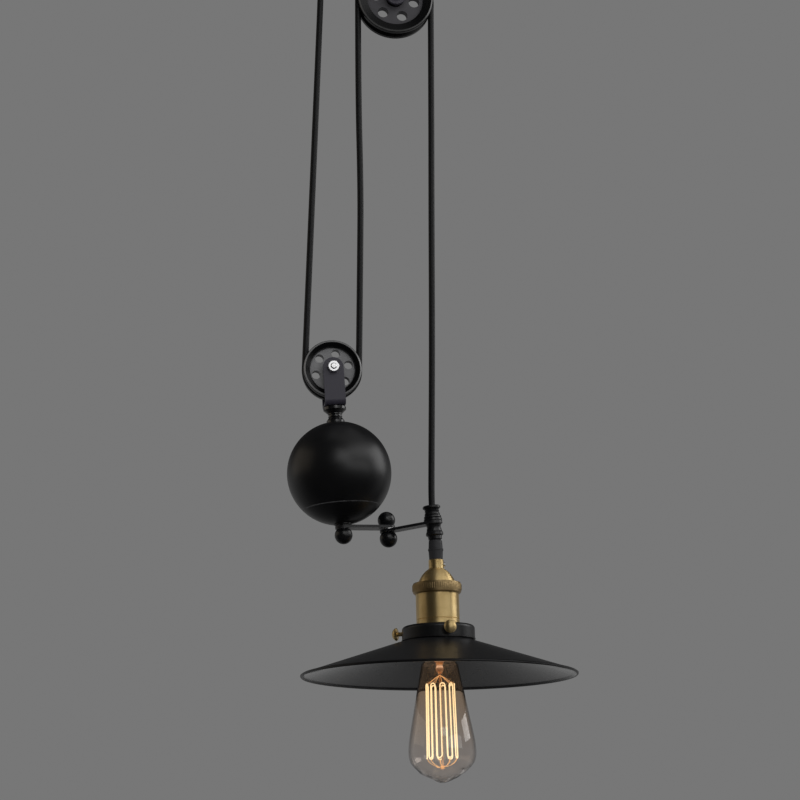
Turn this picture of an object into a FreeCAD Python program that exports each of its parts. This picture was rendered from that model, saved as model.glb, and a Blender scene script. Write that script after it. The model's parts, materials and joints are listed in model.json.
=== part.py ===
# Rise and fall pendant lamp.
# One flex runs from the ceiling cover down round the small wheel of a ball weight, up over the
# fixed wheel, and down through a guide sleeve to the lamp. Two hinged bars join weight and sleeve.
# Millimetres, +Z up, X along the plane of both wheels, -Y towards the viewer. The origin is the
# centre of the ceiling cover, on the ceiling.
import FreeCAD, Part
import math
import os

import Sketcher
from FreeCAD import Placement, Rotation, Vector

SIZES = {
    # flex and clearances
    "cord_dia": 6.2,            # braided round flex
    "cord_clear": 0.3,          # between the flex and what it runs in
    "run_clear": 0.3,           # between pieces that turn past each other
    "pivot_clear": 0.05,        # radial, a pin in its hole
    "fit_clear": 0.1,           # radial, a fixed spigot in its seat
    # ceiling cover
    "canopy_dia": 140.0,
    "canopy_depth": 26.0,
    "canopy_wall": 1.2,
    "canopy_edge": 7.0,         # outer radius of the rounded bottom edge
    "hanger_offset": 37.5,      # cover centre to the hanger, and to the flex outlet
    "bracket_length": 122.0,
    "bracket_width": 32.0,
    "bracket_wall": 2.5,
    "bracket_drop": 13.0,       # depth of the bridge below the ceiling
    "bracket_bridge": 96.0,     # outside length of the bridge
    "ceiling_screw_span": 108.0,
    "ceiling_screw_hole": 5.2,
    "terminal_length": 26.0,
    "terminal_width": 17.0,
    "terminal_depth": 9.0,
    # hanger and outlet
    "hanger_rod_dia": 8.0,
    "rod_nut_flats": 13.0,
    "rod_nut_depth": 6.5,
    "gland_dia": 17.0,
    "gland_depth": 13.0,
    "gland_spigot_dia": 11.8,
    "gland_nut_flats": 15.0,
    "gland_nut_depth": 4.0,
    # forks
    "strap_width": 20.0,
    "strap_wall": 3.2,
    "strap_bend": 4.5,
    "side_gap": 1.3,            # wheel face to strap
    "fork_clear": 3.6,          # flex to the closed end of the fork
    # wheels
    "wheel_width": 19.0,
    "rim_bevel": 1.6,
    "rim_dish": 2.2,            # how far the rim's face falls towards the web
    "web_wall": 8.0,
    "hub_dia": 17.0,
    "wheel_holes": 6,
    "upper_wheel_dia": 77.0,
    "upper_pitch_dia": 75.0,    # centre line of the flex
    "upper_web_dia": 57.0,
    "upper_hole_circle": 39.5,
    "upper_hole_dia": 11.0,
    "upper_wheel_turn": -8.0,   # degrees of the first hole from the right, as it hangs
    "lower_wheel_dia": 57.0,
    "lower_pitch_dia": 52.6,
    "lower_web_dia": 43.0,
    "lower_hole_circle": 33.2,
    "lower_hole_dia": 8.4,
    "lower_wheel_turn": 15.0,
    "axle_dia": 6.0,
    "bush_wall": 1.5,
    "axle_nut_flats": 10.0,
    "axle_nut_depth": 5.0,
    # where the wheels hang
    "upper_axle_drop": 93.0,    # ceiling to the fixed axle
    "axle_spacing": 394.7,      # fixed axle to the weight's axle, height only
    "weight_offset": 61.1,      # the weight's axle lies this far left of the fixed one
    # ball weight, measured down its own axis from its axle
    "weight_lean": 4.4,         # degrees that the hinged bars draw it out of plumb
    "ball_drop": 101.8,
    "ball_dia": 100.0,
    "ball_wall": 2.0,
    "seam_drop": 34.0,          # ball centre to the seam
    "rod_dia": 8.0,
    "rod_head_dia": 13.0,
    "rod_head_depth": 2.2,
    "neck_head_dia": 22.0,
    "neck_waist_dia": 11.8,
    "neck_foot_dia": 17.4,
    "neck_bore": 8.2,
    "boss_dia": 16.6,
    "boss_face": 50.5,          # ball centre to the boss's lower face
    "ballast_dia": 58.0,
    "ballast_depth": 9.0,       # above the seam
    "knob_dia": 17.0,
    "knob_flat": 5.8,           # knob centre to its flat
    # hinged bars
    "inner_reach": 52.0,        # pivot to pivot
    "outer_reach": 48.0,
    "arm_span": 86.9,           # weight axis to sleeve axis
    "arm_tilt": 2.2,            # degrees that the loose bars rise towards the sleeve
    "bar_width": 15.0,
    "bar_wall": 2.6,
    "washer_dia": 15.0,
    "washer_wall": 0.6,
    "elbow_pin_dia": 6.0,
    "knob_thread": 5.0,         # depth of pin inside a knob
    # guide sleeve
    "sleeve_bore": 10.0,
    "sleeve_spigot_dia": 11.6,
    "sleeve_length": 32.6,
    "sleeve_above": 15.0,       # length above the bar
    "sleeve_lip_dia": 17.0,
    "sleeve_neck_dia": 13.0,
    "sleeve_belly_dia": 17.8,
    "sleeve_collar_dia": 16.6,
    # lamp, measured down its own axis from the top of the cord grip
    "lamp_lean": 1.6,
    "lamp_gap": 0.7,            # sleeve to cord grip at the top of the travel
    "grip_dia": 13.6,
    "grip_ring_dia": 14.6,
    "grip_length": 19.0,
    "grip_spigot_dia": 9.8,
    "grip_spigot_length": 7.0,
    "cap_neck_dia": 14.4,
    "cap_neck_length": 9.0,
    "cap_dome_length": 14.0,
    "cap_step": 2.8,            # dome's foot inside the shell's outside
    "cap_wall": 1.0,
    "grub_dia": 4.0,
    "ring_stand": 3.0,          # how far the ring stands out from the shell
    "ring_length": 10.0,
    "shell_dia": 41.0,
    "shell_length": 30.3,
    "shell_wall": 1.2,
    "shell_lip": 6.0,           # plain lip below the groove
    "fitter_dia": 69.0,
    "fitter_length": 13.6,
    "fitter_wall": 1.5,
    "fitter_edge": 3.5,
    "fitter_lip": 0.4,          # small rolled edge round its foot
    "skirt_dia": 36.0,
    "skirt_below": 14.5,        # how far the socket reaches below the fitter
    "clamp_ring_dia": 50.0,
    "clamp_ring_depth": 7.0,
    "screw_circle": 80.0,       # across the seats of the thumbscrew heads
    "screw_head_dia": 12.2,
    "screw_head_depth": 5.4,
    "screw_shank_dia": 4.0,
    "screw_drop": 5.4,          # fitter's top to the thumbscrews
    "screw_turn": 7.0,          # degrees of the first thumbscrew from the front
    "shade_dia": 261.0,
    "shade_depth": 34.0,
    "shade_wall": 1.0,
    "shade_neck_dia": 64.0,
    "shade_bead": 2.4,
    "shade_tilt": 1.0,          # degrees that it hangs askew in its three screws
    # bulb, measured from its tip contact
    "bulb_seat": 87.0,          # cord grip to the bulb's tip contact
    "bulb_length": 141.0,
    "bulb_dia": 63.6,
    "bulb_cap_dia": 26.0,
    "bulb_cap_length": 27.0,
    "glass_wall": 0.8,
    "glass_shoulder_dia": 35.0,
    "stem_dia": 9.0,
    "stem_clear": 11.7,         # stem's end to the glass tip
    "filament_dia": 0.9,
    "filament_top_dia": 27.0,
    "filament_foot_dia": 28.5,
    "filament_start": 50.0,     # tip contact to the top of the cage
    "filament_clear": 23.0,     # foot of the cage to the glass tip
    "filament_strands": 12,
}

doc = FreeCAD.newDocument("pendant")
sheet = doc.addObject("Spreadsheet::Sheet", "sizes")
for row, (alias, number) in enumerate(SIZES.items(), 1):
    sheet.set(f"A{row}", alias)
    sheet.set(f"B{row}", str(number))
    sheet.setAlias(f"B{row}", alias)
doc.recompute()


class Size:
    """A number from the sheet, with the formula that a sketch is bound to."""

    def __init__(self, value, formula=None):
        self.value = float(value)
        self.formula = formula or f"({float(value)!r})"

    def join(self, other, sign, value):
        return Size(value, f"({self.formula} {sign} {other.formula})")

    def __add__(self, other):
        other = sized(other)
        return self.join(other, "+", self.value + other.value)

    def __sub__(self, other):
        other = sized(other)
        return self.join(other, "-", self.value - other.value)

    def __mul__(self, other):
        other = sized(other)
        return self.join(other, "*", self.value * other.value)

    def __truediv__(self, other):
        other = sized(other)
        return self.join(other, "/", self.value / other.value)

    def __neg__(self):
        return sized(0) - self

    __radd__ = __add__
    __rmul__ = __mul__

    def __rsub__(self, other):
        return sized(other) - self


def sized(number):
    return number if isinstance(number, Size) else Size(number)


def size(alias):
    return Size(sheet.get(alias), f"sizes.{alias}")


def leg(hypotenuse, side):
    """The other short side of a right triangle."""
    value = math.sqrt(hypotenuse.value ** 2 - side.value ** 2)
    inner = f"{hypotenuse.formula} * {hypotenuse.formula} - {side.formula} * {side.formula}"
    return Size(value, f"sqrt({inner})")


def smaller(one, other):
    return Size(min(one.value, other.value), f"min({one.formula}; {other.formula})")


# ---------------------------------------------------------------- sketches and features
made = []


def new_body(label, place=Placement()):
    body = doc.addObject("PartDesign::Body", label)
    body.Label = label
    body.Placement = place
    made.append(body)
    return body


def new_sketch(body, role, offset=None):
    """A sketch on one of the body's own planes; offset lifts it off that plane."""
    sketch = body.newObject("Sketcher::SketchObject", f"{body.Name}_{role[:2]}")
    plane = [item for item in body.Origin.OriginFeatures if item.Role == role][0]
    sketch.AttachmentSupport = [(plane, "")]
    sketch.MapMode = "FlatFace"
    if offset is not None:
        sketch.setExpression("AttachmentOffset.Base.z", sized(offset).formula)
    return sketch


def hold(sketch, kind, args, length):
    """A dimension of the sketch, bound to its formula."""
    length = sized(length)
    index = sketch.addConstraint(Sketcher.Constraint(kind, *args, length.value))
    sketch.setExpression(f"Constraints[{index}]", length.formula)


def hold_point(sketch, edge, end, across, up):
    for kind, along in (("DistanceX", across), ("DistanceY", up)):
        hold(sketch, kind, (-1, 1, edge, end), along)


def arc_between(start, end, radius, left):
    """Arc edge; left tells whether its centre lies to the left of start to end."""
    start, end = Vector(*start, 0), Vector(*end, 0)
    chord = end - start
    height = math.sqrt(max(radius ** 2 - (chord.Length / 2) ** 2, 0))
    side = Vector(-chord.y, chord.x, 0).normalize() * (height if left else -height)
    centre = (start + end) * 0.5 + side
    first, last = (start, end) if left else (end, start)
    turn = [math.atan2(p.y - centre.y, p.x - centre.x) for p in (first, last)]
    if turn[1] <= turn[0]:
        turn[1] += 2 * math.pi
    return Part.ArcOfCircle(Part.Circle(centre, Vector(0, 0, 1), radius), *turn)


def hold_arc(sketch, edge, start, end):
    """Hold an arc's radius; a half circle is held by its centre, level with its ends."""
    across = sized(end[0]).value - sized(start[0]).value
    up = sized(end[1]).value - sized(start[1]).value
    if math.hypot(across, up) < 2 * sized(end[2]).value - 1e-6:
        hold(sketch, "Radius", (edge,), end[2])
    elif abs(across) < abs(up):
        hold(sketch, "DistanceX", (-1, 1, edge, 3), end[0])
    else:
        hold(sketch, "DistanceY", (-1, 1, edge, 3), end[1])


def outline(sketch, points):
    """Closed outline. A point is (across, up), or (across, up, radius, left) where an arc leads to it."""
    count = len(points)
    ends = []
    for index, point in enumerate(points):
        before = points[index - 1]
        start = (sized(before[0]).value, sized(before[1]).value)
        end = (sized(point[0]).value, sized(point[1]).value)
        if len(point) == 4:
            edge = sketch.addGeometry(arc_between(start, end, sized(point[2]).value, point[3]))
            ends.append((edge, 1, 2) if point[3] else (edge, 2, 1))
        else:
            edge = sketch.addGeometry(Part.LineSegment(Vector(*start, 0), Vector(*end, 0)))
            ends.append((edge, 1, 2))
    for index in range(count):
        edge, _, end = ends[index]
        after, start, _ = ends[(index + 1) % count]
        sketch.addConstraint(Sketcher.Constraint("Coincident", edge, end, after, start))
        hold_point(sketch, edge, end, points[index][0], points[index][1])
        if len(points[index]) == 4:
            hold_arc(sketch, edge, points[index - 1], points[index])


def disc(sketch, across, up, diameter):
    radius = sized(diameter) / 2
    centre = Vector(sized(across).value, sized(up).value, 0)
    edge = sketch.addGeometry(Part.Circle(centre, Vector(0, 0, 1), radius.value))
    hold_point(sketch, edge, 3, across, up)
    hold(sketch, "Radius", (edge,), radius)


def hexagon(sketch, flats):
    """Hexagon about the sketch's origin with two corners on its horizontal axis."""
    corner = sized(flats) * (1 / math.sqrt(3))
    points = []
    for index in range(6):
        turn = math.radians(60 * index)
        points.append((corner * math.cos(turn), corner * math.sin(turn)))
    outline(sketch, points)


def feature(body, kind, sketch, name=""):
    item = body.newObject(f"PartDesign::{kind}", f"{body.Name}_{kind}{name}")
    item.Profile = sketch
    return item


def turned(label, place, *profiles):
    """A body of revolution about its own Z axis; later profiles are cut out of the first."""
    body = new_body(label, place)
    for index, points in enumerate(profiles):
        sketch = new_sketch(body, "XZ_Plane")
        outline(sketch, points)
        item = feature(body, "Groove" if index else "Revolution", sketch, str(index))
        item.ReferenceAxis = (sketch, ["V_Axis"])
        item.Angle = 360
    return body


def pad(body, sketch, length, midplane=False, backwards=False):
    item = feature(body, "Pad", sketch)
    item.Midplane = midplane
    item.Reversed = backwards
    item.setExpression("Length", sized(length).formula)
    return item


def cut(body, sketch, name="", midplane=True):
    """A pocket through everything, on both sides of its sketch."""
    item = feature(body, "Pocket", sketch, name)
    item.Type = "ThroughAll"
    item.Midplane = midplane
    return item


def ring_of(body, item, sketch, count):
    """Copies of a cut round the normal of its sketch."""
    pattern = body.newObject("PartDesign::PolarPattern", f"{body.Name}_pattern")
    pattern.Originals = [item]
    pattern.Axis = (sketch, ["N_Axis"])
    pattern.Angle = 360
    pattern.setExpression("Occurrences", sized(count).formula)
    body.Tip = pattern
    return pattern


def round_edges(body, kind, radius, wanted):
    """Fillet or chamfer the edges of the body's tip that the test picks."""
    doc.recompute()
    tip = body.Tip
    names = [f"Edge{n}" for n, edge in enumerate(tip.Shape.Edges, 1) if wanted(edge)]
    item = body.newObject(f"PartDesign::{kind}", f"{body.Name}_{kind}")
    item.Base = (tip, names)
    item.setExpression("Radius" if kind == "Fillet" else "Size", sized(radius).formula)
    return item


def at(frame, across=0.0, deep=0.0, up=0.0, turn=0.0):
    """A place in an assembly's frame, turned about the frame's Z axis."""
    spin = Rotation(Vector(0, 0, 1), turn)
    return frame.multiply(Placement(Vector(across, deep, up), spin))


def facing(frame, turn=0.0):
    """The frame with its Z axis swung to the viewer, as an axle lies."""
    return frame.multiply(Placement(Vector(), Rotation(Vector(1, 0, 0), 90))).multiply(
        Placement(Vector(), Rotation(Vector(0, 0, 1), turn)))


def tipped(frame, level, degrees):
    """The frame leaned over about its Y axis, turning at this height."""
    spin = Rotation(Vector(0, 1, 0), degrees)
    return frame.multiply(Placement(Vector(), spin, Vector(0, 0, sized(level).value)))


def stand_alone(label, shape):
    item = doc.addObject("Part::Feature", label)
    item.Label = label
    item.Shape = shape
    made.append(item)
    return item


# ---------------------------------------------------------------- places
cord_radius = size("cord_dia") / 2
upper_pitch = size("upper_pitch_dia") / 2
lower_pitch = size("lower_pitch_dia") / 2
hanger_x = size("hanger_offset").value
fixed_axle = Vector(hanger_x, 0, -size("upper_axle_drop").value)
weight_axle = fixed_axle - Vector(size("weight_offset").value, 0, size("axle_spacing").value)
ceiling = Placement()
hanger_frame = Placement(Vector(hanger_x, 0, 0), Rotation())
outlet_frame = Placement(Vector(-hanger_x, 0, 0), Rotation())
fixed_frame = Placement(fixed_axle, Rotation())
weight_frame = Placement(weight_axle, Rotation(Vector(0, 1, 0), -size("weight_lean").value))

inner_fork_upper = upper_pitch + cord_radius + size("fork_clear")
inner_fork_lower = lower_pitch + cord_radius + size("fork_clear")
outer_fork_upper = inner_fork_upper + size("strap_wall")
outer_fork_lower = inner_fork_lower + size("strap_wall")
half_fork = size("wheel_width") / 2 + size("side_gap")

# levels down the weight's axis, as heights in its frame
ball_centre = -size("ball_drop")
boss_level = ball_centre - size("boss_face")
arm_slope = math.tan(math.radians(size("arm_tilt").value))
inner_bar_top = boss_level - size("run_clear") - size("boss_dia") / 2 * arm_slope
inner_bar_foot = inner_bar_top - size("bar_wall")
bottom_knob_top = inner_bar_foot - size("run_clear") - size("knob_dia") / 2 * arm_slope
washer_foot = inner_bar_foot - size("washer_wall")
outer_bar_top = washer_foot - size("run_clear")
outer_bar_foot = outer_bar_top - size("bar_wall")
sleeve_top = outer_bar_top + size("sleeve_above")
sleeve_foot = sleeve_top - size("sleeve_length")
arm_span = size("arm_span").value
inner_reach, outer_reach = size("inner_reach").value, size("outer_reach").value
elbow_x = (arm_span + (inner_reach ** 2 - outer_reach ** 2) / arm_span) / 2
elbow_y = math.sqrt(inner_reach ** 2 - elbow_x ** 2)
inner_angle = math.degrees(math.atan2(elbow_y, elbow_x))
outer_angle = math.degrees(math.atan2(elbow_y, arm_span - elbow_x))
arm_frame = tipped(weight_frame, (inner_bar_top + inner_bar_foot) / 2, -size("arm_tilt").value)
elbow_frame = at(arm_frame, elbow_x, elbow_y)
sleeve_frame = at(arm_frame, arm_span)

lamp_origin = sleeve_frame.multVec(Vector(0, 0, sleeve_foot.value - size("lamp_gap").value))
lamp_frame = Placement(lamp_origin, Rotation(Vector(0, 1, 0), -size("lamp_lean").value))
# levels down the lamp's axis
grip_foot = -size("grip_length")
cap_neck_foot = grip_foot - size("cap_neck_length")
ring_top = cap_neck_foot - size("cap_dome_length")
ring_foot = ring_top - size("ring_length")
shell_foot = ring_foot - size("shell_length")
fitter_top = shell_foot
fitter_foot = fitter_top - size("fitter_length")
screw_level = fitter_top - size("screw_drop")
skirt_foot = fitter_foot - size("skirt_below")
shade_top = fitter_foot
shade_frame = tipped(lamp_frame, shade_top, size("shade_tilt").value)
bulb_top = -size("bulb_seat")
bulb_cap_foot = bulb_top - size("bulb_cap_length")
bulb_tip = bulb_top - size("bulb_length")


# ---------------------------------------------------------------- ceiling cover and bracket
def make_bracket():
    """Steel strap bent to a bridge, with a foot at each end against the ceiling."""
    body = new_body("ceiling_bracket")
    wall = size("bracket_wall")
    end = size("bracket_length") / 2
    knee = size("bracket_bridge") / 2
    drop = -size("bracket_drop")
    sketch = new_sketch(body, "XZ_Plane")
    outline(sketch, [
        (-end, 0), (-end, -wall), (-knee, -wall), (-knee, drop), (knee, drop), (knee, -wall),
        (end, -wall), (end, 0), (knee - wall, 0), (knee - wall, drop + wall),
        (wall - knee, drop + wall), (wall - knee, 0)])
    pad(body, sketch, size("bracket_width"), midplane=True)
    holes = new_sketch(body, "XY_Plane")
    for side in (-1, 1):
        disc(holes, size("ceiling_screw_span") / 2 * side, 0, size("ceiling_screw_hole"))
    disc(holes, size("hanger_offset"), 0, size("hanger_rod_dia") + size("fit_clear") * 2)
    disc(holes, -size("hanger_offset"), 0, size("gland_spigot_dia") + size("fit_clear") * 2)
    cut(body, holes)
    round_edges(body, "Fillet", size("bracket_width") / 4,
                lambda e: is_upright(e) and abs(e.CenterOfMass.x) > end.value - 0.1)


def is_upright(edge):
    first, last = edge.Vertexes[0].Point, edge.Vertexes[-1].Point
    return len(edge.Vertexes) == 2 and abs(first.x - last.x) + abs(first.y - last.y) < 1e-6


def make_canopy():
    """Spun steel cover with a rounded edge, open to the ceiling."""
    outer = size("canopy_dia") / 2
    wall = size("canopy_wall")
    floor = -size("canopy_depth")
    edge = size("canopy_edge")
    body = turned("canopy_cover", ceiling, [
        (outer, 0), (outer - wall, 0), (outer - wall, floor + edge),
        (outer - edge * 0.4, floor + edge * 0.4), (outer - edge, floor + wall),
        (0, floor + wall), (0, floor), (outer - edge, floor), (outer, floor + edge, edge, True)])
    holes = new_sketch(body, "XY_Plane")
    disc(holes, size("hanger_offset"), 0, size("hanger_rod_dia") + size("fit_clear") * 2)
    disc(holes, -size("hanger_offset"), 0, size("gland_spigot_dia") + size("fit_clear") * 2)
    cut(body, holes)


def make_terminal_block():
    """Three-pole terminal block screwed under the bridge."""
    body = new_body("terminal_block")
    length, width = size("terminal_length"), size("terminal_width")
    top = -size("bracket_drop")
    sketch = new_sketch(body, "XY_Plane", top)
    outline(sketch, [(-length / 2, -width / 2), (length / 2, -width / 2),
                     (length / 2, width / 2), (-length / 2, width / 2)])
    pad(body, sketch, size("terminal_depth"), backwards=True)
    ways = new_sketch(body, "XZ_Plane")
    for pole in (-1, 0, 1):
        disc(ways, length / 3 * pole, top - size("terminal_depth") / 2, size("terminal_depth") / 2)
    cut(body, ways)


def make_spacer():
    """Tube on the hanger rod that carries the cover below the bracket."""
    bore = size("hanger_rod_dia") / 2 + size("fit_clear")
    top = -size("bracket_drop")
    foot = size("canopy_wall") - size("canopy_depth")
    outer = bore + 2.4
    turned("hanger_spacer", hanger_frame, [(bore, foot), (outer, foot), (outer, top), (bore, top)])


def make_hanger_rod():
    """Threaded rod from the bracket to inside the fixed fork, with a low head below."""
    radius = size("hanger_rod_dia") / 2
    plate = inner_fork_upper - size("upper_axle_drop")
    head = size("rod_head_dia") / 2
    top = size("bracket_wall") + size("rod_nut_depth") - size("bracket_drop") + 1.5
    turned("hanger_rod", hanger_frame, [
        (0, plate - size("rod_head_depth")), (head - 1, plate - size("rod_head_depth")),
        (head, plate - size("rod_head_depth") + 1), (head, plate), (radius, plate),
        (radius, top - 0.8), (radius - 0.8, top), (0, top)])


def make_nut(label, place, flats, depth, bore, foot=0.0):
    """Hexagon nut whose lower face is at foot, with its corners turned off."""
    body = new_body(label, place)
    sketch = new_sketch(body, "XY_Plane", foot)
    hexagon(sketch, flats)
    disc(sketch, 0, 0, bore)
    pad(body, sketch, depth)
    corner = sized(flats) * (1 / math.sqrt(3))
    crown = sized(flats) / 2
    slope = new_sketch(body, "XZ_Plane")
    top = sized(foot) + depth
    outline(slope, [(crown, top), (corner + 1, top), (corner + 1, top - (corner + 1 - crown) / 2)])
    item = feature(body, "Groove", slope)
    item.ReferenceAxis = (slope, ["V_Axis"])
    item.Angle = 360
    return body


def turned_neck(label, place, top, foot):
    """Baluster between a fork and what it joins: wide head at the top, waist, flared foot."""
    bore = size("neck_bore") / 2
    head = size("neck_head_dia") / 2
    waist = size("neck_waist_dia") / 2
    flare = size("neck_foot_dia") / 2
    tall = top - foot
    head_foot = top - tall * 0.28
    waist_level = foot + tall * 0.5
    ring_level = foot + tall * 0.42
    return turned(label, place, [
        (bore, top), (head - 0.8, top), (head, top - 0.8), (head, head_foot + 1.2),
        (head - 1.4, head_foot), (waist + 1.1, waist_level + 1.2), (waist + 1.1, waist_level + 0.5),
        (waist, waist_level), (waist, ring_level + 0.5), (waist + 0.9, ring_level),
        (waist + 0.9, ring_level - 0.8), (waist + 0.4, ring_level - 1.4),
        (flare - 0.8, foot + tall * 0.2), (flare, foot + tall * 0.14), (flare, foot), (bore, foot)])


def make_gland():
    """Cord grip under the cover: body with a domed nut, its spigot through cover and bracket."""
    bore = cord_radius + size("cord_clear")
    spigot = size("gland_spigot_dia") / 2
    outer = size("gland_dia") / 2
    plate = -size("canopy_depth")
    foot = plate - size("gland_depth")
    nut_foot = size("bracket_wall") - size("bracket_drop")
    top = nut_foot + size("gland_nut_depth")
    turned("cord_gland", outlet_frame, [
        (bore, foot), (bore + 1.6, foot), (outer - 3.2, foot + 0.8), (outer - 1.5, foot + 2.5),
        (outer - 1.0, foot + 5.5), (outer, foot + 6), (outer, plate), (spigot, plate),
        (spigot, top), (bore, top)])
    make_nut("gland_locknut", at(outlet_frame, turn=30), size("gland_nut_flats"),
             size("gland_nut_depth"),
             size("gland_spigot_dia") + size("fit_clear") * 2, nut_foot)


# ---------------------------------------------------------------- forks, wheels and axles
def make_fork(label, place, inner, rod_hole, bend):
    """Strap bent to a U round its wheel, closed end down, ears rounded about the axle."""
    body = new_body(label, place)
    half = size("strap_width") / 2
    outer = inner + size("strap_wall")
    face = new_sketch(body, "XZ_Plane")
    outline(face, [(-half, -outer), (half, -outer), (half, 0), (-half, 0, half, True)])
    pad(body, face, (half_fork + size("strap_wall")) * 2, midplane=True)
    inside = new_sketch(body, "YZ_Plane")
    outline(inside, [(-half_fork, -inner), (half_fork, -inner), (half_fork, half + 1),
                     (-half_fork, half + 1)])
    cut(body, inside, "Inside")
    axle = new_sketch(body, "XZ_Plane")
    disc(axle, 0, 0, size("axle_dia") + size("fit_clear") * 2)
    cut(body, axle, "Axle")
    rod = new_sketch(body, "XY_Plane")
    disc(rod, 0, 0, rod_hole + size("fit_clear") * 2)
    cut(body, rod, "Rod")
    round_edges(body, "Fillet", smaller(bend, size("strap_wall") + half_fork / 2),
                lambda e: lies_across(e, -outer.value))
    return body


def lies_across(edge, level):
    """Whether a straight edge runs along X at this height of its body."""
    if len(edge.Vertexes) != 2:
        return False
    first, last = edge.Vertexes[0].Point, edge.Vertexes[1].Point
    along_x = abs(first.y - last.y) < 1e-6 and abs(first.x - last.x) > 1
    return along_x and abs(first.z - level) < 1e-6 and abs(last.z - level) < 1e-6


def make_wheel(label, place, wheel_dia, pitch, web_dia, circle, hole):
    """Cast wheel: tapered flex groove, bevelled rim with a dished face, web with holes, hub."""
    half = size("wheel_width") / 2
    outer = wheel_dia / 2
    web = web_dia / 2
    web_half = size("web_wall") / 2
    bevel = size("rim_bevel")
    hub = size("hub_dia") / 2
    bore = size("axle_dia") / 2 + size("bush_wall") + size("pivot_clear")
    groove = cord_radius + size("cord_clear")
    floor = pitch - groove
    brim = groove + 0.8
    side = [(bore, half), (hub - 0.8, half), (hub, half - 0.8), (hub, web_half),
            (web, web_half), (web + 0.8, half - size("rim_dish")), (outer - bevel, half),
            (outer, half - bevel)]
    far_side = [(r, -z) for r, z in reversed(side)]
    throat = [(outer, brim), (floor, groove * 0.7), (floor, -groove * 0.7), (outer, -brim)]
    body = turned(label, place, side + throat + far_side)
    holes = new_sketch(body, "XY_Plane")
    disc(holes, circle / 2, 0, hole)
    first = cut(body, holes)
    ring_of(body, first, holes, size("wheel_holes"))
    return body


def make_axle(wheel, frame):
    """Bush, washers, shouldered bolt and nut of one wheel."""
    spin = facing(frame)
    bore = size("axle_dia") / 2
    half = half_fork - size("run_clear")
    turned(f"{wheel}_bush", spin, [
        (bore + size("pivot_clear"), -half), (bore + size("bush_wall"), -half),
        (bore + size("bush_wall"), half), (bore + size("pivot_clear"), half)])
    ear = half_fork + size("strap_wall")
    flats = size("axle_nut_flats")
    bolt = new_body(f"{wheel}_axle_bolt", spin)
    shank = new_sketch(bolt, "XZ_Plane")
    outline(shank, [(0, -ear), (bore, -ear), (bore, ear + size("axle_nut_depth") + 0.4),
                    (bore - 0.8, ear + size("axle_nut_depth") + 1.2),
                    (0, ear + size("axle_nut_depth") + 1.2)])
    item = feature(bolt, "Revolution", shank)
    item.ReferenceAxis = (shank, ["V_Axis"])
    item.Angle = 360
    head = new_sketch(bolt, "XY_Plane", -ear)
    hexagon(head, flats)
    pad(bolt, head, size("axle_nut_depth") * 0.8, backwards=True)
    make_nut(f"{wheel}_axle_nut", spin, flats, size("axle_nut_depth"),
             size("axle_dia") + size("fit_clear") * 2, ear)


# ---------------------------------------------------------------- ball weight
def make_ball():
    """Spun upper shell and bottom cap, a ballast disc and the rod that holds them together."""
    outer = size("ball_dia") / 2
    inner = outer - size("ball_wall")
    hole = size("rod_dia") / 2 + size("fit_clear")
    foot = size("neck_foot_dia") / 2
    boss = size("boss_dia") / 2
    seam = -size("seam_drop")
    lap = 4.0
    crown = leg(outer, foot)
    base = leg(outer, boss)
    land = leg(inner, boss)
    mid = ball_centre
    turned("ball_upper_shell", weight_frame, [
        (hole, mid + crown), (hole, mid + leg(inner, foot)), (foot, mid + leg(inner, foot)),
        (inner * 0.72, mid + inner * 0.68), (inner * 0.98, mid + inner * 0.1),
        (leg(inner, seam), mid + seam), (leg(outer, seam), mid + seam),
        (foot, mid + crown, outer, True)])
    spigot = leg(inner, seam) - size("fit_clear")
    turned("ball_bottom_cap", weight_frame, [
        (hole, mid - base), (boss, mid - base), (leg(outer, seam), mid + seam, outer, True),
        (spigot, mid + seam), (spigot, mid + seam + lap), (spigot - 1.5, mid + seam + lap),
        (spigot - 1.5, mid + seam - 1.0), (inner * 0.42, mid - inner * 0.89), (boss, mid - land),
        (hole, mid - land)])
    heavy = size("ballast_dia") / 2
    low = mid - land + size("fit_clear")
    top = mid + seam + size("ballast_depth")
    turned("ballast", weight_frame, [
        (hole, low), (boss, low), (inner * 0.42, mid - inner * 0.89 + 0.4),
        (heavy, mid + seam - 3.0), (heavy, top - 2), (heavy - 2, top), (hole, top)])
    turned("weight_boss", weight_frame, [
        (hole, boss_level), (boss - 0.8, boss_level), (boss, boss_level + 0.5),
        (boss, mid - base), (hole, mid - base)])


def make_weight_rod():
    """Rod from inside the lower fork, through neck, ball and boss, into the bottom knob."""
    radius = size("rod_dia") / 2
    head = size("rod_head_dia") / 2
    plate = -inner_fork_lower
    foot = bottom_knob_top - size("knob_thread")
    turned("weight_rod", weight_frame, [
        (0, foot), (radius - 0.6, foot), (radius, foot + 0.6), (radius, plate), (head, plate),
        (head, plate + size("rod_head_depth") - 1), (head - 1, plate + size("rod_head_depth")),
        (0, plate + size("rod_head_depth"))])


def make_knob(label, place, flat, down, pin_dia):
    """Ball knob with a flat seat and a blind hole for its pin."""
    radius = size("knob_dia") / 2
    side = 1 if down else -1
    seat = leg(radius, size("knob_flat"))
    centre = flat - size("knob_flat") * side
    bore = pin_dia / 2 + size("fit_clear")
    floor = flat - (size("knob_thread") + size("fit_clear")) * side
    far = centre - radius * side
    turned(label, place, [
        (0, floor), (bore, floor), (bore, flat), (seat, flat),
        (radius, centre, radius, not down), (0, far, radius, not down)])


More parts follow.
